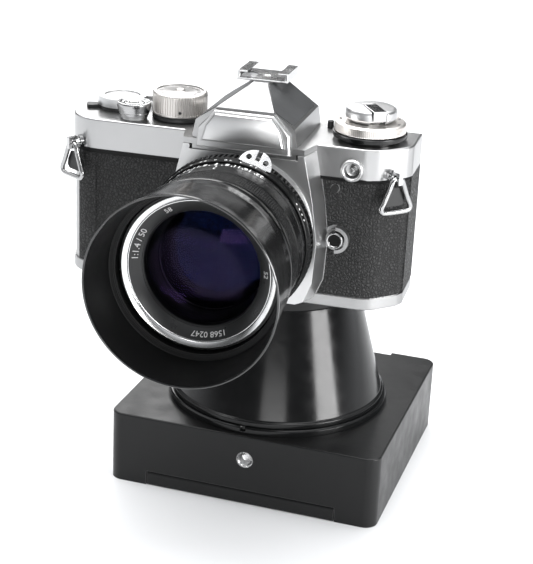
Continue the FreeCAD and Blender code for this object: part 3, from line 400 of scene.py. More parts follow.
def upright(x, y, z=0.0):
    return Matrix.Translation(cam_point(x, y, z))


def turned(name, body, profile, matrix, materials, count=192, bands=None, wave=None, sharp=30.0, closed=True,
           stands_for=()):
    bm = bmesh.new()
    revolve(bm, profile, matrix, count, bands, wave, closed)
    made = finish_mesh(name, bm, materials, sharp)
    if stands_for:
        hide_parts(*stands_for)
    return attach(made, body)


# ---------------------------------------------------------------- figures and marks
def figure_faces(text, size):
    """Filled outlines of a few figures, centred on the origin, in mm."""
    curve = bpy.data.curves.new("figures", "FONT")
    curve.body = text
    curve.size = size
    curve.align_x = "CENTER"
    curve.align_y = "CENTER"
    curve.resolution_u = 3
    curve.extrude = 0.02
    holder = bpy.data.objects.new("figures", curve)
    bpy.context.scene.collection.objects.link(holder)
    mesh = bpy.data.meshes.new_from_object(holder.evaluated_get(bpy.context.evaluated_depsgraph_get()))
    spots = [vert.co.copy() for vert in mesh.vertices]
    faces = [tuple(face.vertices) for face in mesh.polygons]
    bpy.data.objects.remove(holder)
    bpy.data.curves.remove(curve)
    bpy.data.meshes.remove(mesh)
    return spots, faces


class Marks:
    """Filled figures, bars and dots laid just over a curved face, all in one mesh."""

    def __init__(self):
        self.bm = bmesh.new()

    def lay(self, spots, faces, place, u=0.0, v=0.0, turn=0.0):
        c, s = math.cos(turn), math.sin(turn)
        made = [self.bm.verts.new(place(u + c * p[0] - s * p[1], v + s * p[0] + c * p[1], p[2]))
                for p in spots]
        for face in faces:
            self.bm.faces.new([made[i] for i in face])

    def figures(self, text, size, place, u=0.0, v=0.0, turn=0.0):
        spots, faces = figure_faces(text, size)
        self.lay(spots, faces, place, u, v, turn)

    def bar(self, width, height, place, u=0.0, v=0.0):
        """A filled bar, split along its width so that it follows a curve."""
        count = max(1, int(width / 0.6))
        spots, faces = [], []
        for i in range(count + 1):
            x = -width / 2 + width * i / count
            spots += [(x, -height / 2, 0.02), (x, height / 2, 0.02),
                      (x, height / 2, -0.02), (x, -height / 2, -0.02)]
        for i in range(count):
            a, b = 4 * i, 4 * i + 4
            faces += [(a + k, b + k, b + (k + 1) % 4, a + (k + 1) % 4) for k in range(4)]
        faces += [(0, 1, 2, 3), tuple(4 * count + k for k in (3, 2, 1, 0))]
        self.lay(spots, faces, place, u, v)

    def dot(self, radius, place, u=0.0, v=0.0, sides=24):
        ring = [(radius * math.cos(2 * math.pi * i / sides), radius * math.sin(2 * math.pi * i / sides))
                for i in range(sides)]
        spots = [(x, y, 0.02) for x, y in ring] + [(x, y, -0.02) for x, y in ring]
        faces = [tuple(range(sides)), tuple(range(2 * sides - 1, sides - 1, -1))]
        faces += [(i, sides + i, sides + (i + 1) % sides, (i + 1) % sides) for i in range(sides)]
        self.lay(spots, faces, place, u, v)

    def done(self, name, body, material):
        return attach(finish_mesh(name, self.bm, [material], smooth=False), body)


def on_barrel(matrix, radius, angle, height, sense=1.0):
    """u runs round a cylinder, v along its axis."""
    def place(u, v, w):
        a = math.radians(angle) + sense * u / radius
        r = (radius + 0.03 + w) * MM
        return matrix @ Vector((r * math.cos(a), r * math.sin(a), (height + v) * MM))
    return place


def on_cone(matrix, radius, height, slope, angle):
    """u runs round a cone clockwise as seen from its open end, v outwards along the slope."""
    rise, run = math.sin(math.radians(slope)), math.cos(math.radians(slope))

    def place(u, v, w):
        r = radius + v * run - (w + 0.03) * rise
        a = math.radians(angle) - u / radius
        return matrix @ Vector((r * MM * math.cos(a), r * MM * math.sin(a),
                                (height + v * rise + (w + 0.03) * run) * MM))
    return place


def ribs(count, depth, share, low, high, least=0.0):
    """A wave for revolve: narrow grooves along the axis between two heights."""
    def wave(r, h, a):
        if not low <= h <= high or r < least:
            return r
        return r - depth if (a * count / (2 * math.pi)) % 1.0 < share else r
    return wave


def steps(start, stop, pitch):
    count = max(1, round(abs(stop - start) / pitch))
    return [start + (stop - start) * i / count for i in range(count + 1)]


def wire(spots, radius, sides=14):
    """A round wire along a closed path of points in mm."""
    bm = bmesh.new()
    rings = []
    count = len(spots)
    normal = None
    for i, spot in enumerate(spots):
        along = (spots[(i + 1) % count] - spots[i - 1]).normalized()
        if normal is None:
            normal = along.orthogonal().normalized()
        normal = (normal - along * normal.dot(along)).normalized()
        side = along.cross(normal)
        rings.append([bm.verts.new((spot + radius * (math.cos(2 * math.pi * k / sides) * normal
                                                     + math.sin(2 * math.pi * k / sides) * side)) * MM)
                      for k in range(sides)])
    for i in range(count):
        here, after = rings[i], rings[(i + 1) % count]
        for k in range(sides):
            bm.faces.new((here[k], here[(k + 1) % sides], after[(k + 1) % sides], after[k]))
    return bm


# ---------------------------------------------------------------- the stand
BASE_TURN = Matrix.Rotation(math.radians(-3.0), 4, "Z")
BASE = BASE_TURN @ Matrix.Translation((0, 5.0 * MM, 0))


def build_stand():
    refined("base_shell", "base", [M["paint"]], bevel=0.35, segments=3)
    refined("hatch", "hatch", [M["paint"]], bevel=0.2)
    refined("neck_lock", "neck_lock", [M["plastic"]], bevel=0.25)
    refined("camera_plate", "head", [M["neck"]], bevel=0.2)
    build_bearing_ring()
    build_neck()
    build_front_socket()


def build_bearing_ring():
    """The ring the neck turns on, with one small notch in its upper edge at the front."""
    front, notch_half = 1.5 * math.pi, 0.026

    def notch(r, h, a):
        return 46.8 if r > 47 and h > 32.6 and abs(a - front) < notch_half else r
    ring = eased([(38.05, 31.5), (48.0, 31.5), (48.0, 32.6), (48.0, 32.75), (48.0, 33.9), (47.4, 34.5),
                  (38.05, 34.5)], 0.12)
    turned("bearing_ring_turned", "base", ring, BASE_TURN, [M["neck"]], count=480, wave=notch,
           stands_for=["bearing_ring"])


def build_neck():
    cone = eased([(34.0, 28.7), (38.0, 28.7), (38.0, 34.6), (46.6, 34.6), (46.6, 36.6), (45.4, 37.2),
                  (33.0, 82.0), (30.5, 82.0), (41.5, 37.6), (34.0, 37.6)], 0.35)
    turned("neck_cone_turned", "head", cone, Matrix.Identity(4), [M["neck"]], count=288,
           stands_for=["neck_cone"])


THREAD_PITCH, THREAD_ROOT, THREAD_DEPTH = 1.27, 3.0, 0.42        # 1/4 inch, 20 to the inch


def build_front_socket():
    """A chamfered bush with a real 1/4 inch helix inside."""
    place = Matrix.Translation(Vector((2.0, -55.0, 20.7)) * MM)
    socket = BASE @ place @ Matrix.Rotation(math.radians(90), 4, "X")

    def thread(r, h, a):
        if not 2.6 < r < 3.4 or h < -5.2:
            return r
        turn = ((h / THREAD_PITCH) - a / (2 * math.pi)) % 1.0
        return THREAD_ROOT + THREAD_DEPTH * abs(2 * turn - 1)
    bush = [(3.5, -0.1), (3.6, -0.3), (3.6, -2.5), (7.5, -2.5), (7.5, -4.5), (3.6, -4.5), (3.6, -6.4),
            (0, -6.4), (0, -5.3)]
    bush += [(3.0, h) for h in steps(-5.3, -0.5, 0.13)] + [(3.42, -0.12)]
    turned("front_socket_bush", "base", bush, socket, [M["socket"]], count=72, wave=thread, sharp=50,
           stands_for=["tripod_socket"])


# ---------------------------------------------------------------- camera covers and trim
SYNC_SPOT = (41.9, 58.7)                           # flash-lead socket: x and z on the camera's front
RELEASE_SPOT = (37.2, 29.8)                        # lens release: x and z on the camera's front


def inset_outline(points, depth):
    """A counter-clockwise outline, moved inwards by the same distance along every side."""
    out = []
    count = len(points)
    for i in range(count):
        here = Vector(points[i])
        before = (here - Vector(points[i - 1])).normalized()
        after = (Vector(points[(i + 1) % count]) - here).normalized()
        n0, n1 = Vector((-before.y, before.x)), Vector((-after.y, after.x))
        middle = (n0 + n1).normalized()
        out.append(here + middle * depth / max(0.3, middle.dot(n0)))
    return out


def stack_rings(bm, rings):
    """Side faces between closed rings of the same number of points."""
    for low, high in zip(rings, rings[1:]):
        count = len(low)
        for i in range(count):
            j = (i + 1) % count
            bm.faces.new((low[i], low[j], high[j], high[i]))


def name_plate(name, half, back, front, chamfer, material):
    """A raised plate with a mitred chamfer all round, on the front of the prism housing."""
    outline = half + [(-x, z) for x, z in reversed(half)]
    rings = []
    bm = bmesh.new()
    for depth, y in ((0.0, back), (0.0, front + chamfer * 1.25), (chamfer * 0.1, front + chamfer * 1.05),
                     (chamfer * 0.9, front + 0.06), (chamfer * 1.05, front)):
        rings.append([bm.verts.new(cam_point(q[0], y, q[1])) for q in inset_outline(outline, depth)])
    stack_rings(bm, rings)
    bm.faces.new(rings[-1])
    bm.faces.new(list(reversed(rings[0])))
    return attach(finish_mesh(name, bm, [material], sharp=25.0), "head")


def strap_guard(side, outline, place, turn):
    """The soft plate behind a strap ring that keeps it off the cover. Its outline is given on the lug's
    own axes, and is turned over here because it is seen from behind."""
    bm = bmesh.new()
    sections = ((0.3, 2.5), (0.0, 2.7), (0.0, 3.0), (0.3, 3.2))
    rings = []
    for depth, x in sections:
        points = inset_outline(list(reversed(outline)), -depth)
        rings.append([bm.verts.new(CAM + (place + turn @ Vector((x, q[0], q[1]))) * MM) for q in points])
    stack_rings(bm, rings)
    bm.faces.new(rings[0])
    bm.faces.new(list(reversed(rings[-1])))
    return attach(finish_mesh("strap_guard_" + side, bm, [M["plastic"]]), "strap_ring_" + side)


def panel(name, path, thick, low, high, material):
    """A thin skin that follows a path in plan, split finely, with its long edges rolled in."""
    spots = []
    for a, b in zip(path, path[1:]):
        a, b = Vector(a), Vector(b)
        count = max(2, int((b - a).length / 1.5))
        spots += [a.lerp(b, i / count) for i in range(count)]
    spots.append(Vector(path[-1]))
    section = [(0.0, low), (thick, low + 0.25), (thick, high - 0.25), (0.0, high)]
    bm = bmesh.new()
    rows = []
    for i, spot in enumerate(spots):
        along = (spots[min(i + 1, len(spots) - 1)] - spots[max(i - 1, 0)]).normalized()
        out = Vector((along.y, -along.x))
        rows.append([bm.verts.new(cam_point(spot.x + out.x * d, spot.y + out.y * d, z)) for d, z in section])
    for here, after in zip(rows, rows[1:]):
        for k in range(4):
            bm.faces.new((here[k], after[k], after[(k + 1) % 4], here[(k + 1) % 4]))
    bm.faces.new(rows[0])
    bm.faces.new(list(reversed(rows[-1])))
    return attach(finish_mesh(name, bm, [material]), "head")


def build_covers():
    refined("top_cover", "head", [M["satin"]], bevel=0.4, segments=3)
    refined("bottom_cover", "head", [M["alloy"]], bevel=0.3)
    refined("front_apron", "head", [M["satin_bright"]], bevel=0.45, segments=3)
    refined("prism_side_panels", "head", [M["grey_panel"]], bevel=0.08)
    refined("eyepiece", "head", [M["plastic"]], bevel=0.3)
    refined("hot_shoe", "head", [M["chrome"]], bevel=0.22, segments=3)
    refined("strap_lugs", "head", [M["chrome"]], bevel=0.2)
    refined("lens_mount_ring", "head", [M["chrome"]], bevel=0.2)
    refined("meter_fork", "aperture_ring", [M["chrome"]], bevel=0.14)
    for side, place, angle in LUGS:
        build_strap_ring(side, Vector(place), Matrix.Rotation(math.radians(angle), 4, "Z"))
    build_skins()
    build_sync_socket()
    build_nameplate()


LUGS = (("right", (56.64, -12.24, 57.0), -45.0), ("left", (-72.42, -15.44, 57.0), -122.0))
RING_STAND = 4.4                                   # the ring hangs this far out from the cover
RING_WIRE = 1.0


def smooth_loop(outline, parts=5):
    """Points of a closed Catmull-Rom curve through an outline."""
    count = len(outline)
    out = []
    for i in range(count):
        p0, p1, p2, p3 = (Vector(outline[(i + k - 1) % count]) for k in range(4))
        for step in range(parts):
            t = step / parts
            out.append(0.5 * (2 * p1 + (p2 - p0) * t + (2 * p0 - 5 * p1 + 4 * p2 - p3) * t ** 2
                              + (3 * p1 - p0 - 3 * p2 + p3) * t ** 3))
    return out


def build_strap_ring(side, place, turn):
    """A bent-wire triangle on its lug, and the soft guard that keeps it off the cover."""
    half = [(0.6, 0.0), (2.1, -0.8), (3.6, -4.4), (5.5, -8.8), (6.7, -11.2), (6.7, -12.6), (5.4, -13.5)]
    left = [(-x, z) for x, z in reversed(half)]
    outline = left[-1:] + half + [(0.0, -13.7)] + left[:-1]
    spots = [CAM / MM + place + turn @ Vector((RING_STAND, q.x, q.y - 0.3)) for q in smooth_loop(outline)]
    ring = finish_mesh("strap_ring_" + side + "_wire", wire(spots, RING_WIRE), [M["steel"]])
    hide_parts("strap_ring_" + side)
    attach(ring, "strap_ring_" + side)
    guard = [(-2.4, -4.6), (2.4, -4.6), (4.2, -8.0), (4.6, -10.4), (3.5, -11.6)]
    guard += [(-3.5, -11.6), (-4.6, -10.4), (-4.2, -8.0)]
    strap_guard(side, guard, place, turn)


END_BEND, END_RADIUS = (-65.0, -3.5), 14.0         # the rounded left end, in plan


def left_end(radius, turns):
    """Points round the left end, each at an angle from straight ahead."""
    return [(END_BEND[0] - radius * math.sin(a), END_BEND[1] - radius * math.cos(a)) for a in turns]


def build_skins():
    """The covering goes on round both ends, and a black strip runs under the top cover's edge: the seam,
    widened into painted shadow where the cover overhangs.
    """
    panel("leather_end", [(61.2, -7.2), (63.1, -3.3), (63.1, 16.6)], 0.38, 5.4, 54.6, M["leather"])
    bend = left_end(END_RADIUS, (0.62, 0.5, 0.38, 0.26, 0.13, 0.0))
    panel("leather_bend", bend, 0.3, 5.4, 54.6, M["leather"])
    # Painted shadow: black strips along the top cover's lower edge, where the overhang throws its shadow on
    # the covering.
    seam_shadow = left_end(END_RADIUS + 0.2, (0.72, 0.5, 0.3, 0.15)) + [(-64.0, -17.6), (-24.5, -17.6)]
    panel("seam_shadow_left", seam_shadow, 0.25, 53.2, 55.1, M["black_deep"])
    seam_shadow = [(28.0, -17.55), (46.5, -17.55), (51.2, -16.6), (54.8, -14.0), (61.6, -7.5), (63.3, -3.4),
            (63.3, 16.0)]
    panel("seam_shadow_right", seam_shadow, 0.2, 53.7, 55.1, M["black_deep"])


def build_sync_socket():
    """The flash-lead socket: a stepped ring round a pin."""
    x, z = SYNC_SPOT
    sync = lens_matrix() @ Matrix.Translation(Vector((x, z - AXIS_Z, 0)) * MM)
    outer = eased([(0, 14.6), (3.4, 14.6), (3.4, 17.5), (4.6, 17.5), (4.6, 18.9), (4.1, 19.6),
                   (3.5, 19.6), (3.1, 19.2), (2.9, 18.2), (2.9, 16.2), (1.1, 16.0), (1.1, 18.3),
                   (0.8, 18.6), (0, 18.6)], 0.12, closed=False)
    turned("flash_socket_ring", "head", outer, sync, [M["satin_bright"], M["steel"]], count=96,
           bands=[0] * 30 + [1] * 30, closed=False, stands_for=["sync_socket"])


def build_nameplate():
    """A raised frame and a raised blank plate on the prism housing's front."""
    frame_half = [(19.2, 64.4), (18.6, 72.6), (12.0, 80.0)]
    plate_half = [(17.0, 67.2), (15.2, 74.0), (11.6, 79.2)]
    name_plate("name_frame", frame_half, -28.0, -29.2, 0.7, M["satin_bright"])
    name_plate("name_plate", plate_half, -29.0, -30.4, 0.9, M["satin_bright"])


# ---------------------------------------------------------------- the lens
# Heights run forwards from the middle of the body along the lens axis.
BAND_R = 31.4                                      # the barrel's band of depth figures
INDEX_ANGLE = 98                                   # where its middle mark stands
KNURL_LOW, KNURL_HIGH = 60.2, 68.3


def sagged(rim_height, radius, places):
    """Points of a convex face whose middle is at rim_height."""
    return [(r, rim_height - (radius - math.sqrt(radius * radius - r * r))) for r in places]


def build_lens():
    axis = lens_matrix()
    build_hood(axis)
    build_name_ring(axis)
    build_glass(axis)
    build_focus_ring(axis)
    build_barrel(axis)
    build_aperture_ring(axis)


def build_hood(axis):
    """A flared shade with a rolled lip and a stepped shoulder inside."""
    rim = [(31.05, 73.0), (32.6, 73.0), (33.0, 73.3), (33.4, 75.0), (33.55, 78.4), (33.45, 78.6),
           (33.62, 78.8), (33.8, 84.0)]
    rim += [(33.8 + 2.5 * t, 84.0 + 21.8 * t) for t in (0.2, 0.4, 0.6, 0.8, 1.0)]
    rim += [(36.45, 106.4), (36.42, 106.8), (36.2, 107.0), (35.95, 107.0), (35.68, 106.8), (35.6, 106.3)]
    inner = [(33.15 + 2.4 * t, 88.0 + 18.0 * t) for t in (0.95, 0.8, 0.6, 0.4, 0.2, 0.06)]
    inner += [(33.1, 88.2), (32.75, 88.05), (32.7, 87.8), (32.45, 87.75), (32.4, 87.5), (32.1, 87.45),
              (32.05, 87.2), (31.6, 87.1), (31.5, 86.9), (31.05, 86.8)]
    bands = [0] * (len(rim) - 7) + [2] * 6 + [1] * (len(inner) + 1)
    looks = [M["hood"], M["hood_inside"], M["hood_lip"]]
    turned("hood_shade", "lens_front", rim + inner, axis, looks, count=288, bands=bands,
           sharp=40, stands_for=["lens_hood"])


def build_name_ring(axis):
    """The front cell: a bright filter ring, then a dark cone that carries a few figures."""
    cell = [(22.3, 44.0), (25.0, 44.0), (25.0, 72.0), (31.0, 72.0), (31.0, 83.2), (30.4, 83.8), (29.75, 83.8)]
    ring = [(29.7, 84.5), (29.55, 84.75), (29.3, 84.8), (27.7, 84.15), (27.45, 83.95), (27.3, 83.6)]
    face = [(27.1, 83.55), (22.9, 80.75), (22.8, 80.3), (22.5, 80.1), (22.3, 79.6)]
    looks = [M["black"], M["filter_ring"], M["name_ring"]]
    turned("name_ring_barrel", "lens_front", cell + ring + face, axis, looks,
           count=288, bands=[0] * 6 + [1] * 7 + [2] * 5, stands_for=["front_barrel"])
    marks = Marks()
    slope = math.degrees(math.atan2(2.8, 4.2))
    figures = (("1:1.4 / 50", 3.5, 163), ("58", 3.0, 120), ("52", 3.0, 4), ("1568 0247", 3.2, -80))
    for text, size, angle in figures:
        marks.figures(text, size, on_cone(axis, 25.0, 82.15, slope, angle))
    marks.done("name_ring_figures", "lens_front", M["white_ink"])


def build_glass(axis):
    """Three groups of glass, with a stepped black retainer between the first and the second."""
    front = [(0, 80.9)] + sagged(80.9, 60, (2, 4, 7, 10, 13, 16, 19, 21, 22.2))
    front += [(22.2, 75.8)] + [(r, 74.3 + r * r / 360) for r in (21, 18, 15, 12, 9, 6, 3)] + [(0, 74.3)]
    turned("front_glass", "lens_front", front, axis, [M["glass_front"]], count=160, closed=False,
           stands_for=["lens_elements"])
    second = [(0, 71.8)] + sagged(71.8, 34, (2, 4, 6, 8, 10, 12, 14, 16, 17.4))
    second += [(17.4, 65.6)] + [(r, 64.4 + r * r / 260) for r in (16, 13, 10, 7, 4)] + [(0, 64.4)]
    turned("second_glass", "lens_front", second, axis, [M["glass_second"]], count=144, closed=False)
    funnel = [(22.25, 79.4), (22.25, 75.4), (19.6, 72.2), (19.4, 71.6), (18.4, 70.2), (18.2, 69.2),
              (17.5, 68.4), (17.5, 64.0), (16.8, 63.4), (16.8, 62.2)]
    back = [(r + 0.45, h - 0.3) for r, h in reversed(funnel[2:])]
    turned("glass_retainer", "lens_front", funnel + back + [(22.28, 74.6)], axis, [M["black_deep"]],
           count=160)
    rear = [(0, 58.0)] + sagged(58.0, 28, (2, 4, 6, 8, 10, 12, 14))
    rear += [(22.2, 54.0), (22.2, 50.0), (15, 49.0), (8, 47.4), (0, 46.8)]
    turned("rear_glass", "lens_front", rear, axis, [M["glass_rear"]], count=128, closed=False)


def build_focus_ring(axis):
    def knurl(r, h, a):
        if not KNURL_LOW < h < KNURL_HIGH or r < 31.6:
            return r
        round_way = 0.5 + 0.5 * math.cos(210 * a)
        along = 0.5 + 0.5 * math.cos((h - KNURL_LOW) * 2 * math.pi / 0.95)
        return r - 0.34 * max(round_way, along) ** 2
    band = [(29.1, 52.1), (31.3, 52.1), (31.55, 52.4), (31.6, 52.8), (31.6, 59.2), (31.35, 59.4),
            (31.2, 59.6), (31.35, 59.8), (31.7, 60.0), (31.8, 60.2)]
    band += [(31.8, h) for h in steps(60.4, 68.2, 0.2375)]
    band += [(31.7, 68.4), (31.4, 68.8), (31.1, 69.0), (29.1, 69.0)]
    turned("focus_ring_knurled", "focus_ring", band, axis, [M["ring_black"]], count=840, wave=knurl, sharp=40,
           stands_for=["focus_ring"])
    marks = Marks()
    for angle, text in ((96, "3"), (114, "5"), (132, "10"), (150, "20")):
        marks.figures(text, 2.5, on_barrel(axis, 31.6, angle, 56.4))
        marks.bar(0.35, 1.2, on_barrel(axis, 31.6, angle, 53.6))
    marks.done("distance_figures", "focus_ring", M["white_ink"])


def build_barrel(axis):
    """The fixed barrel, with its band of depth figures on both sides of a middle mark."""
    barrel = eased([(25.05, 36.5), (31.2, 36.5), (31.6, 37.3), (31.0, 39.8), (29.0, 39.8), (29.0, 48.4),
                    (31.3, 48.4), (BAND_R, 48.6), (BAND_R, 51.4), (31.3, 51.6), (29.0, 51.6), (29.0, 71.0),
                    (25.05, 71.0)], 0.15)
    turned("barrel_turned", "head", barrel, axis, [M["black"]], count=240, stands_for=["lens_barrel"])
    marks = Marks()
    for spread, figure in ((8, "8"), (15, "11"), (23, "16"), (32, "22")):
        for side in (-1, 1):
            marks.figures(figure, 3.4, on_barrel(axis, BAND_R, INDEX_ANGLE + side * spread, 50.0))
            marks.bar(0.5, 0.7, on_barrel(axis, BAND_R, INDEX_ANGLE + side * (spread - 3.5), 51.0))
    marks.bar(0.8, 2.8, on_barrel(axis, BAND_R, INDEX_ANGLE, 50.0))
    marks.done("depth_scale", "head", M["white_ink"])


def build_aperture_ring(axis):
    teeth = ribs(100, 0.75, 0.42, 40.7, 44.6, least=32.0)
    ring = [(29.1, 40.1), (32.3, 40.1), (32.9, 40.5)] + [(33.0, h) for h in (40.7, 41.6, 42.6, 43.6, 44.6)]
    ring += [(32.95, 44.8), (32.5, 45.2), (32.2, 47.5), (31.9, 47.8), (29.1, 47.8)]
    turned("aperture_ring_toothed", "aperture_ring", ring, axis, [M["ring_black"]], count=1000, wave=teeth,
           sharp=35, stands_for=["aperture_ring"])
    marks = Marks()
    for i, text in enumerate(("16", "11", "8", "5.6", "4", "2.8", "2", "1.4")):
        marks.figures(text, 2.7, on_barrel(axis, 32.3, 136 - 9 * i, 46.4))
    for angle in (34, 30, 26, 22):
        marks.dot(0.42, on_barrel(axis, 32.35, angle, 46.4))
    marks.done("aperture_figures", "aperture_ring", M["white_ink"])


# ---------------------------------------------------------------- controls on top
DECK_Z = 67.5
DIAL_SPOT = (-34.8, -1.0)                          # each spot is x and y on the deck
BUTTON_SPOT = (-51.5, -9.8)
LEVER_SPOT = (-62.0, 5.0)
REWIND_SPOT = (44.8, -1.0)
LOCK_SPOT = (26.7, 8.5)


def on_deck(spot):
    return upright(spot[0], spot[1], DECK_Z)


def build_controls():
    build_shutter_dial()
    build_release()
    build_lever_trim()
    build_film_speed()
    refined("rewind_knob", "rewind_knob", [M["satin_bright"]], bevel=0.3, segments=3)
    refined("rewind_crank", "rewind_crank", [M["chrome"]], bevel=0.3, segments=3)
    refined("advance_lever", "advance_lever", [M["satin_bright"]], bevel=0.3, segments=3)
    build_lens_release()


def build_shutter_dial():
    dial = on_deck(DIAL_SPOT)
    skirt = [(0, 0.3), (11.1, 0.3), (11.3, 0.5), (11.3, 1.7), (11.0, 2.2), (11.3, 2.5), (11.35, 3.1)]
    skirt += [(11.35, z) for z in (3.2, 5.4, 7.6, 9.8, 10.4)]
    skirt += [(11.2, 10.9), (10.9, 11.3), (10.4, 11.5), (9.7, 11.5), (9.55, 11.1), (2.3, 11.05), (1.9, 11.3),
              (1.6, 12.0), (1.2, 12.2), (0, 12.2)]
    # The recessed top face takes the darker copy of the dial metal: painted shade.
    looks = [M["plastic"], M["dial"], M["dial_top_shaded"]]
    turned("shutter_dial_ribbed", "shutter_dial", skirt, dial, looks, count=496,
           bands=[0] * 4 + [1] * 11 + [2] * 2 + [1] * 5, wave=ribs(62, 0.32, 0.38, 3.2, 10.4, least=11.0),
           sharp=35, closed=False, stands_for=["shutter_dial"])
    marks = Marks()
    speeds = ("1000", "500", "250", "125", "60", "30", "15", "8", "4", "2", "1")
    for i, text in enumerate(speeds):
        marks.figures(text, 1.9 if len(text) < 4 else 1.6, on_cone(dial, 7.6, 11.07, 0, 100 - 30 * i))
    marks.dot(0.6, on_barrel(dial, 11.35, -72, 4.6))
    marks.done("shutter_figures", "shutter_dial", M["black_ink"])


def build_release():
    """A cupped collar with the shutter button in it."""
    collar = eased([(4.1, 0.0), (5.1, 0.0), (5.3, 0.3), (6.25, 2.75), (6.15, 2.9), (6.3, 3.05), (7.05, 5.6),
                    (7.15, 6.5), (6.9, 7.1), (6.3, 7.2), (5.2, 6.7), (4.4, 6.5), (4.1, 6.2)], 0.12)
    turned("release_collar_turned", "head", collar, on_deck(BUTTON_SPOT), [M["steel"]], count=160,
           stands_for=["release_collar"])
    button = [(0, 1.8), (3.9, 1.8), (4.0, 2.0), (4.0, 6.3), (3.75, 6.75), (3.2, 6.9), (2.4, 6.7), (1.9, 6.4),
              (0.7, 4.2), (0, 4.0)]
    turned("shutter_button_turned", "shutter_button", button, on_deck(BUTTON_SPOT), [M["chrome"]], count=128,
           closed=False, stands_for=["shutter_button"])


def build_lever_trim():
    """A black disc under the advance lever, with a small tab, whose black is painted shade for the shadow gap
    under the lever; and the lever's black tip.
    """
    tab_angle, tab_half, tab_length = 3.55, 0.2, 4.8

    def tab(r, h, a):
        return r + tab_length if r > 9 and abs(a - tab_angle) < tab_half else r
    # Painted shade: this black disc stands in for the shadow gap under the lever.
    plinth = eased([(3.2, 0.0), (9.7, 0.0), (9.9, 0.3), (9.9, 1.2), (9.6, 1.5), (3.2, 1.5)], 0.1)
    turned("lever_shade_disc", "head", plinth, on_deck(LEVER_SPOT), [M["plastic"]], count=256, wave=tab)
    tip = [(18.2, 9.5), (18.2, 15.9), (24.9, 17.0), (27.8, 13.6), (25.4, 10.3)]
    bm = bmesh.new()
    rings = []
    for depth, z in ((0.5, 1.65), (0.0, 2.1), (0.0, 4.7), (0.5, 5.15)):
        rings.append([bm.verts.new(cam_point(q[0] + LEVER_SPOT[0], q[1] + LEVER_SPOT[1], DECK_Z + z))
                      for q in inset_outline(list(reversed(tip)), depth)])
    stack_rings(bm, rings)
    bm.faces.new(rings[0])
    bm.faces.new(list(reversed(rings[-1])))
    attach(finish_mesh("lever_tip", bm, [M["plastic"]]), "advance_lever")


def build_film_speed():
    """The ribbed film-speed dial, the black ring under it and the pin that locks it."""
    film = on_deck(REWIND_SPOT)
    ring = eased([(5.6, 3.7), (14.0, 3.7), (14.3, 3.8)], 0.0)
    ring += [(14.35, z) for z in (4.0, 4.8, 5.6, 6.4, 6.9)]
    ring += [(14.2, 7.1), (13.5, 7.65), (13.1, 7.7), (5.6, 7.7)]
    turned("film_speed_dial_ribbed", "film_speed_dial", ring, film, [M["dial"]], count=880,
           wave=ribs(110, 0.25, 0.4, 4.0, 6.9, least=14.0), sharp=35, stands_for=["film_speed_dial"])
    marks = Marks()
    for i, text in enumerate(("25", "50", "100", "200", "400", "800", "1600", "3200", "12")):
        marks.figures(text, 1.5, on_cone(film, 12.0, 7.7, 0, 70 - 40 * i))
    marks.done("film_speed_figures", "film_speed_dial", M["black_ink"])
    base = eased([(5.5, 0.0), (12.5, 0.0), (12.5, 1.5), (15.0, 1.5), (15.0, 3.4), (5.5, 3.4), (5.5, 7.2),
                  (4.6, 7.2), (4.6, 0.0)], 0.3)
    turned("film_speed_base_ring", "head", base, film, [M["enamel"]], count=192,
           stands_for=["film_speed_base"])
    lock = [(0, -3.0), (1.3, -3.0), (1.3, 2.9), (1.1, 3.2), (0.7, 3.4), (0, 3.4)]
    turned("film_speed_lock_pin", "film_speed_lock", lock, on_deck(LOCK_SPOT), [M["plastic"]], count=48,
           closed=False, stands_for=["film_speed_lock"])


def build_lens_release():
    x, z = RELEASE_SPOT
    release = lens_matrix() @ Matrix.Translation(Vector((x, z - AXIS_Z, 0)) * MM)
    cap = [(0, 20.7), (2.3, 20.75), (2.55, 20.95), (2.75, 21.3), (3.0, 21.4), (3.2, 21.3), (3.35, 21.0),
           (3.4, 20.6), (3.4, 12.5), (0, 12.5)]
    turned("lens_release_cap", "lens_release", cap, release, [M["black_deep"], M["chrome"], M["plastic"]],
           count=96, bands=[0] * 2 + [1] * 5 + [2] * 3, closed=False, stands_for=["lens_release_button"])


# ---------------------------------------------------------------- camera, floor and light
VIEW_PLACE = Vector((139.87, -593.44, 316.38))      # mm, in the frame
VIEW_TURN, VIEW_DROP, VIEW_ROLL = 13.921, 21.041, 2.736  # degrees: to the left of +y, down, clockwise
VIEW_LENS = 96.58                                   # mm on a 36 mm wide sensor


def look_camera():
    """The viewer stands in front, to the right and above, tilted a little."""
    turn, drop, roll = (math.radians(angle) for angle in (VIEW_TURN, VIEW_DROP, VIEW_ROLL))
    ahead = Vector((-math.sin(turn) * math.cos(drop), math.cos(turn) * math.cos(drop), -math.sin(drop)))
    level = Vector((math.cos(turn), math.sin(turn), 0))
    upwards = level.cross(ahead)
    right = level * math.cos(roll) + upwards * math.sin(roll)
    up = upwards * math.cos(roll) - level * math.sin(roll)
    data = bpy.data.cameras.new("view")
    data.sensor_width = 36.0
    data.sensor_fit = "AUTO"
    data.lens = VIEW_LENS
    data.clip_start, data.clip_end = 0.05, 20.0
    made = bpy.data.objects.new("view", data)
    turned_to = Matrix((right, up, -ahead)).transposed().to_4x4()
    made.matrix_world = Matrix.Translation(VIEW_PLACE * MM) @ turned_to
    bpy.context.scene.collection.objects.link(made)
    bpy.context.scene.camera = made


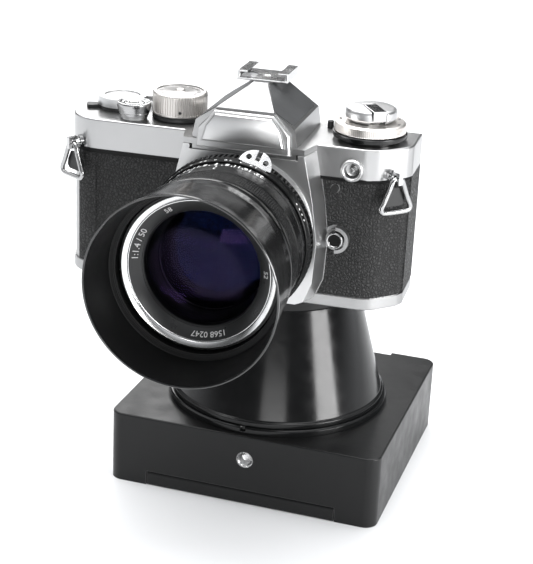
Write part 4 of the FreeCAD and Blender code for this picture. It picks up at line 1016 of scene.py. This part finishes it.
def make_floor():
    bm = bmesh.new()
    bmesh.ops.create_circle(bm, cap_ends=True, segments=96, radius=1.9)
    floor = finish_mesh("floor", bm, [], smooth=False)
    floor.location = (0, 0, CAD_LOW.z)
    n = Nodes("floor_white")
    n.colour(n.mix(n.noise(3, 2), (0.70, 0.705, 0.712, 1), (0.72, 0.725, 0.732, 1)))
    n.set(Roughness=n.ramp(n.noise(5, 2), 0.0, 1.0, 0.5, 0.6))
    floor.data.materials.append(n.material)


def area_light(name, place, target, size, power):
    data = bpy.data.lights.new(name, "AREA")
    data.shape = "RECTANGLE"
    data.size, data.size_y = size
    data.energy = power
    made = bpy.data.objects.new(name, data)
    made.location = place
    made.rotation_euler = (Vector(target) - Vector(place)).to_track_quat("-Z", "Y").to_euler()
    bpy.context.scene.collection.objects.link(made)


def make_light():
    """A white room, dark just above the ground line, with a tall strip, a front fill and four soft boxes."""
    world = bpy.data.worlds.new("studio")
    bpy.context.scene.world = world
    world.use_nodes = True
    tree = world.node_tree
    place = tree.nodes.new("ShaderNodeTexCoord")
    split = tree.nodes.new("ShaderNodeSeparateXYZ")
    tree.links.new(place.outputs["Generated"], split.inputs[0])
    fade = tree.nodes.new("ShaderNodeValToRGB")
    fade.color_ramp.interpolation = "EASE"
    levels = ((0.0, 1.5), (0.05, 1.0), (0.13, 0.05), (0.38, 0.08), (0.62, 0.7), (1.0, 1.0))
    while len(fade.color_ramp.elements) < len(levels):
        fade.color_ramp.elements.new(0.5)
    for stop, (height, level) in zip(fade.color_ramp.elements, levels):
        stop.position = height
        stop.color = (level * 0.95, level * 0.97, level, 1)
    tree.links.new(split.outputs["Z"], fade.inputs["Fac"])
    tree.links.new(fade.outputs["Color"], tree.nodes["Background"].inputs[0])
    tree.nodes["Background"].inputs[1].default_value = 1.0
    area_light("top_softbox", (-0.1, 0.15, 1.3), (0, 0, 0.08), (1.6, 1.6), 35)
    area_light("left_softbox", (-1.1, -0.1, 0.75), (0, 0, 0.12), (0.8, 0.7), 1.5)
    area_light("back_left_softbox", (-0.6, 1.2, 0.78), (0, 0, 0.12), (0.8, 0.35), 5)
    area_light("tall_strip", (0.98, -0.19, 0.22), (0, 0, 0.08), (0.022, 0.5), 0.35)
    area_light("right_softbox", (1.1, -0.42, 0.34), (0, 0, 0.12), (0.5, 0.5), 14)
    area_light("front_fill", (0.28, -1.5, 0.3), (0, 0, 0.12), (0.7, 0.26), 3.4)
    view = bpy.context.scene.view_settings
    view.view_transform = "Standard"
    view.look = "None"
    view.exposure = 0.0


# ---------------------------------------------------------------- looks of the CAD nodes
NODE_LOOKS = {
    "base_shell": "paint", "base_floor_plate": "paint", "base_feet": "rubber", "base_screws": "steel",
    "tripod_socket": "steel", "hatch": "paint", "hatch_pin": "steel", "bearing_ring": "neck",
    "ballast_block": "ballast", "neck_lock": "plastic", "neck_cone": "neck", "neck_retainer": "steel",
    "camera_plate": "neck", "camera_screw": "steel", "top_cover": "satin", "prism_side_panels": "grey_panel",
    "bottom_cover": "satin_bright", "front_apron": "satin", "leatherette": "leather", "body_casting": "alloy",
    "mirror_box": "black_deep", "reflex_mirror": "mirror", "focusing_screen": "glass", "pentaprism": "glass",
    "shutter_unit": "black_deep", "take_up_spool": "plastic", "sprocket": "steel", "tripod_bushing": "brass",
    "back_door": "leather", "door_hinge": "steel", "pressure_plate": "steel", "eyepiece": "plastic",
    "hot_shoe": "chrome", "lens_mount_ring": "chrome", "sync_socket": "chrome", "strap_lugs": "chrome",
    "strap_ring_right": "chrome", "strap_ring_left": "chrome", "release_collar": "chrome",
    "shutter_button": "chrome", "shutter_dial": "dial", "advance_lever": "satin_bright",
    "film_speed_base": "plastic", "film_speed_dial": "dial", "film_speed_lock": "plastic",
    "rewind_sleeve": "steel", "rewind_knob": "satin_bright", "rewind_crank": "chrome",
    "lens_release_button": "chrome", "flash_button": "plastic", "battery_cap": "satin",
    "rewind_release_button": "satin", "lens_barrel": "black", "aperture_ring": "black",
    "meter_fork": "chrome",
    "focus_ring": "black", "front_barrel": "black", "lens_elements": "glass", "iris_blades": "black_deep",
    "lens_hood": "black"}


def dress_nodes():
    for node, look in NODE_LOOKS.items():
        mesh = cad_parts[node].data
        mesh.materials.clear()
        mesh.materials.append(M[look])


look_camera()
make_floor()
make_light()
make_materials()
dress_nodes()
build_stand()
build_covers()
build_lens()
build_controls()
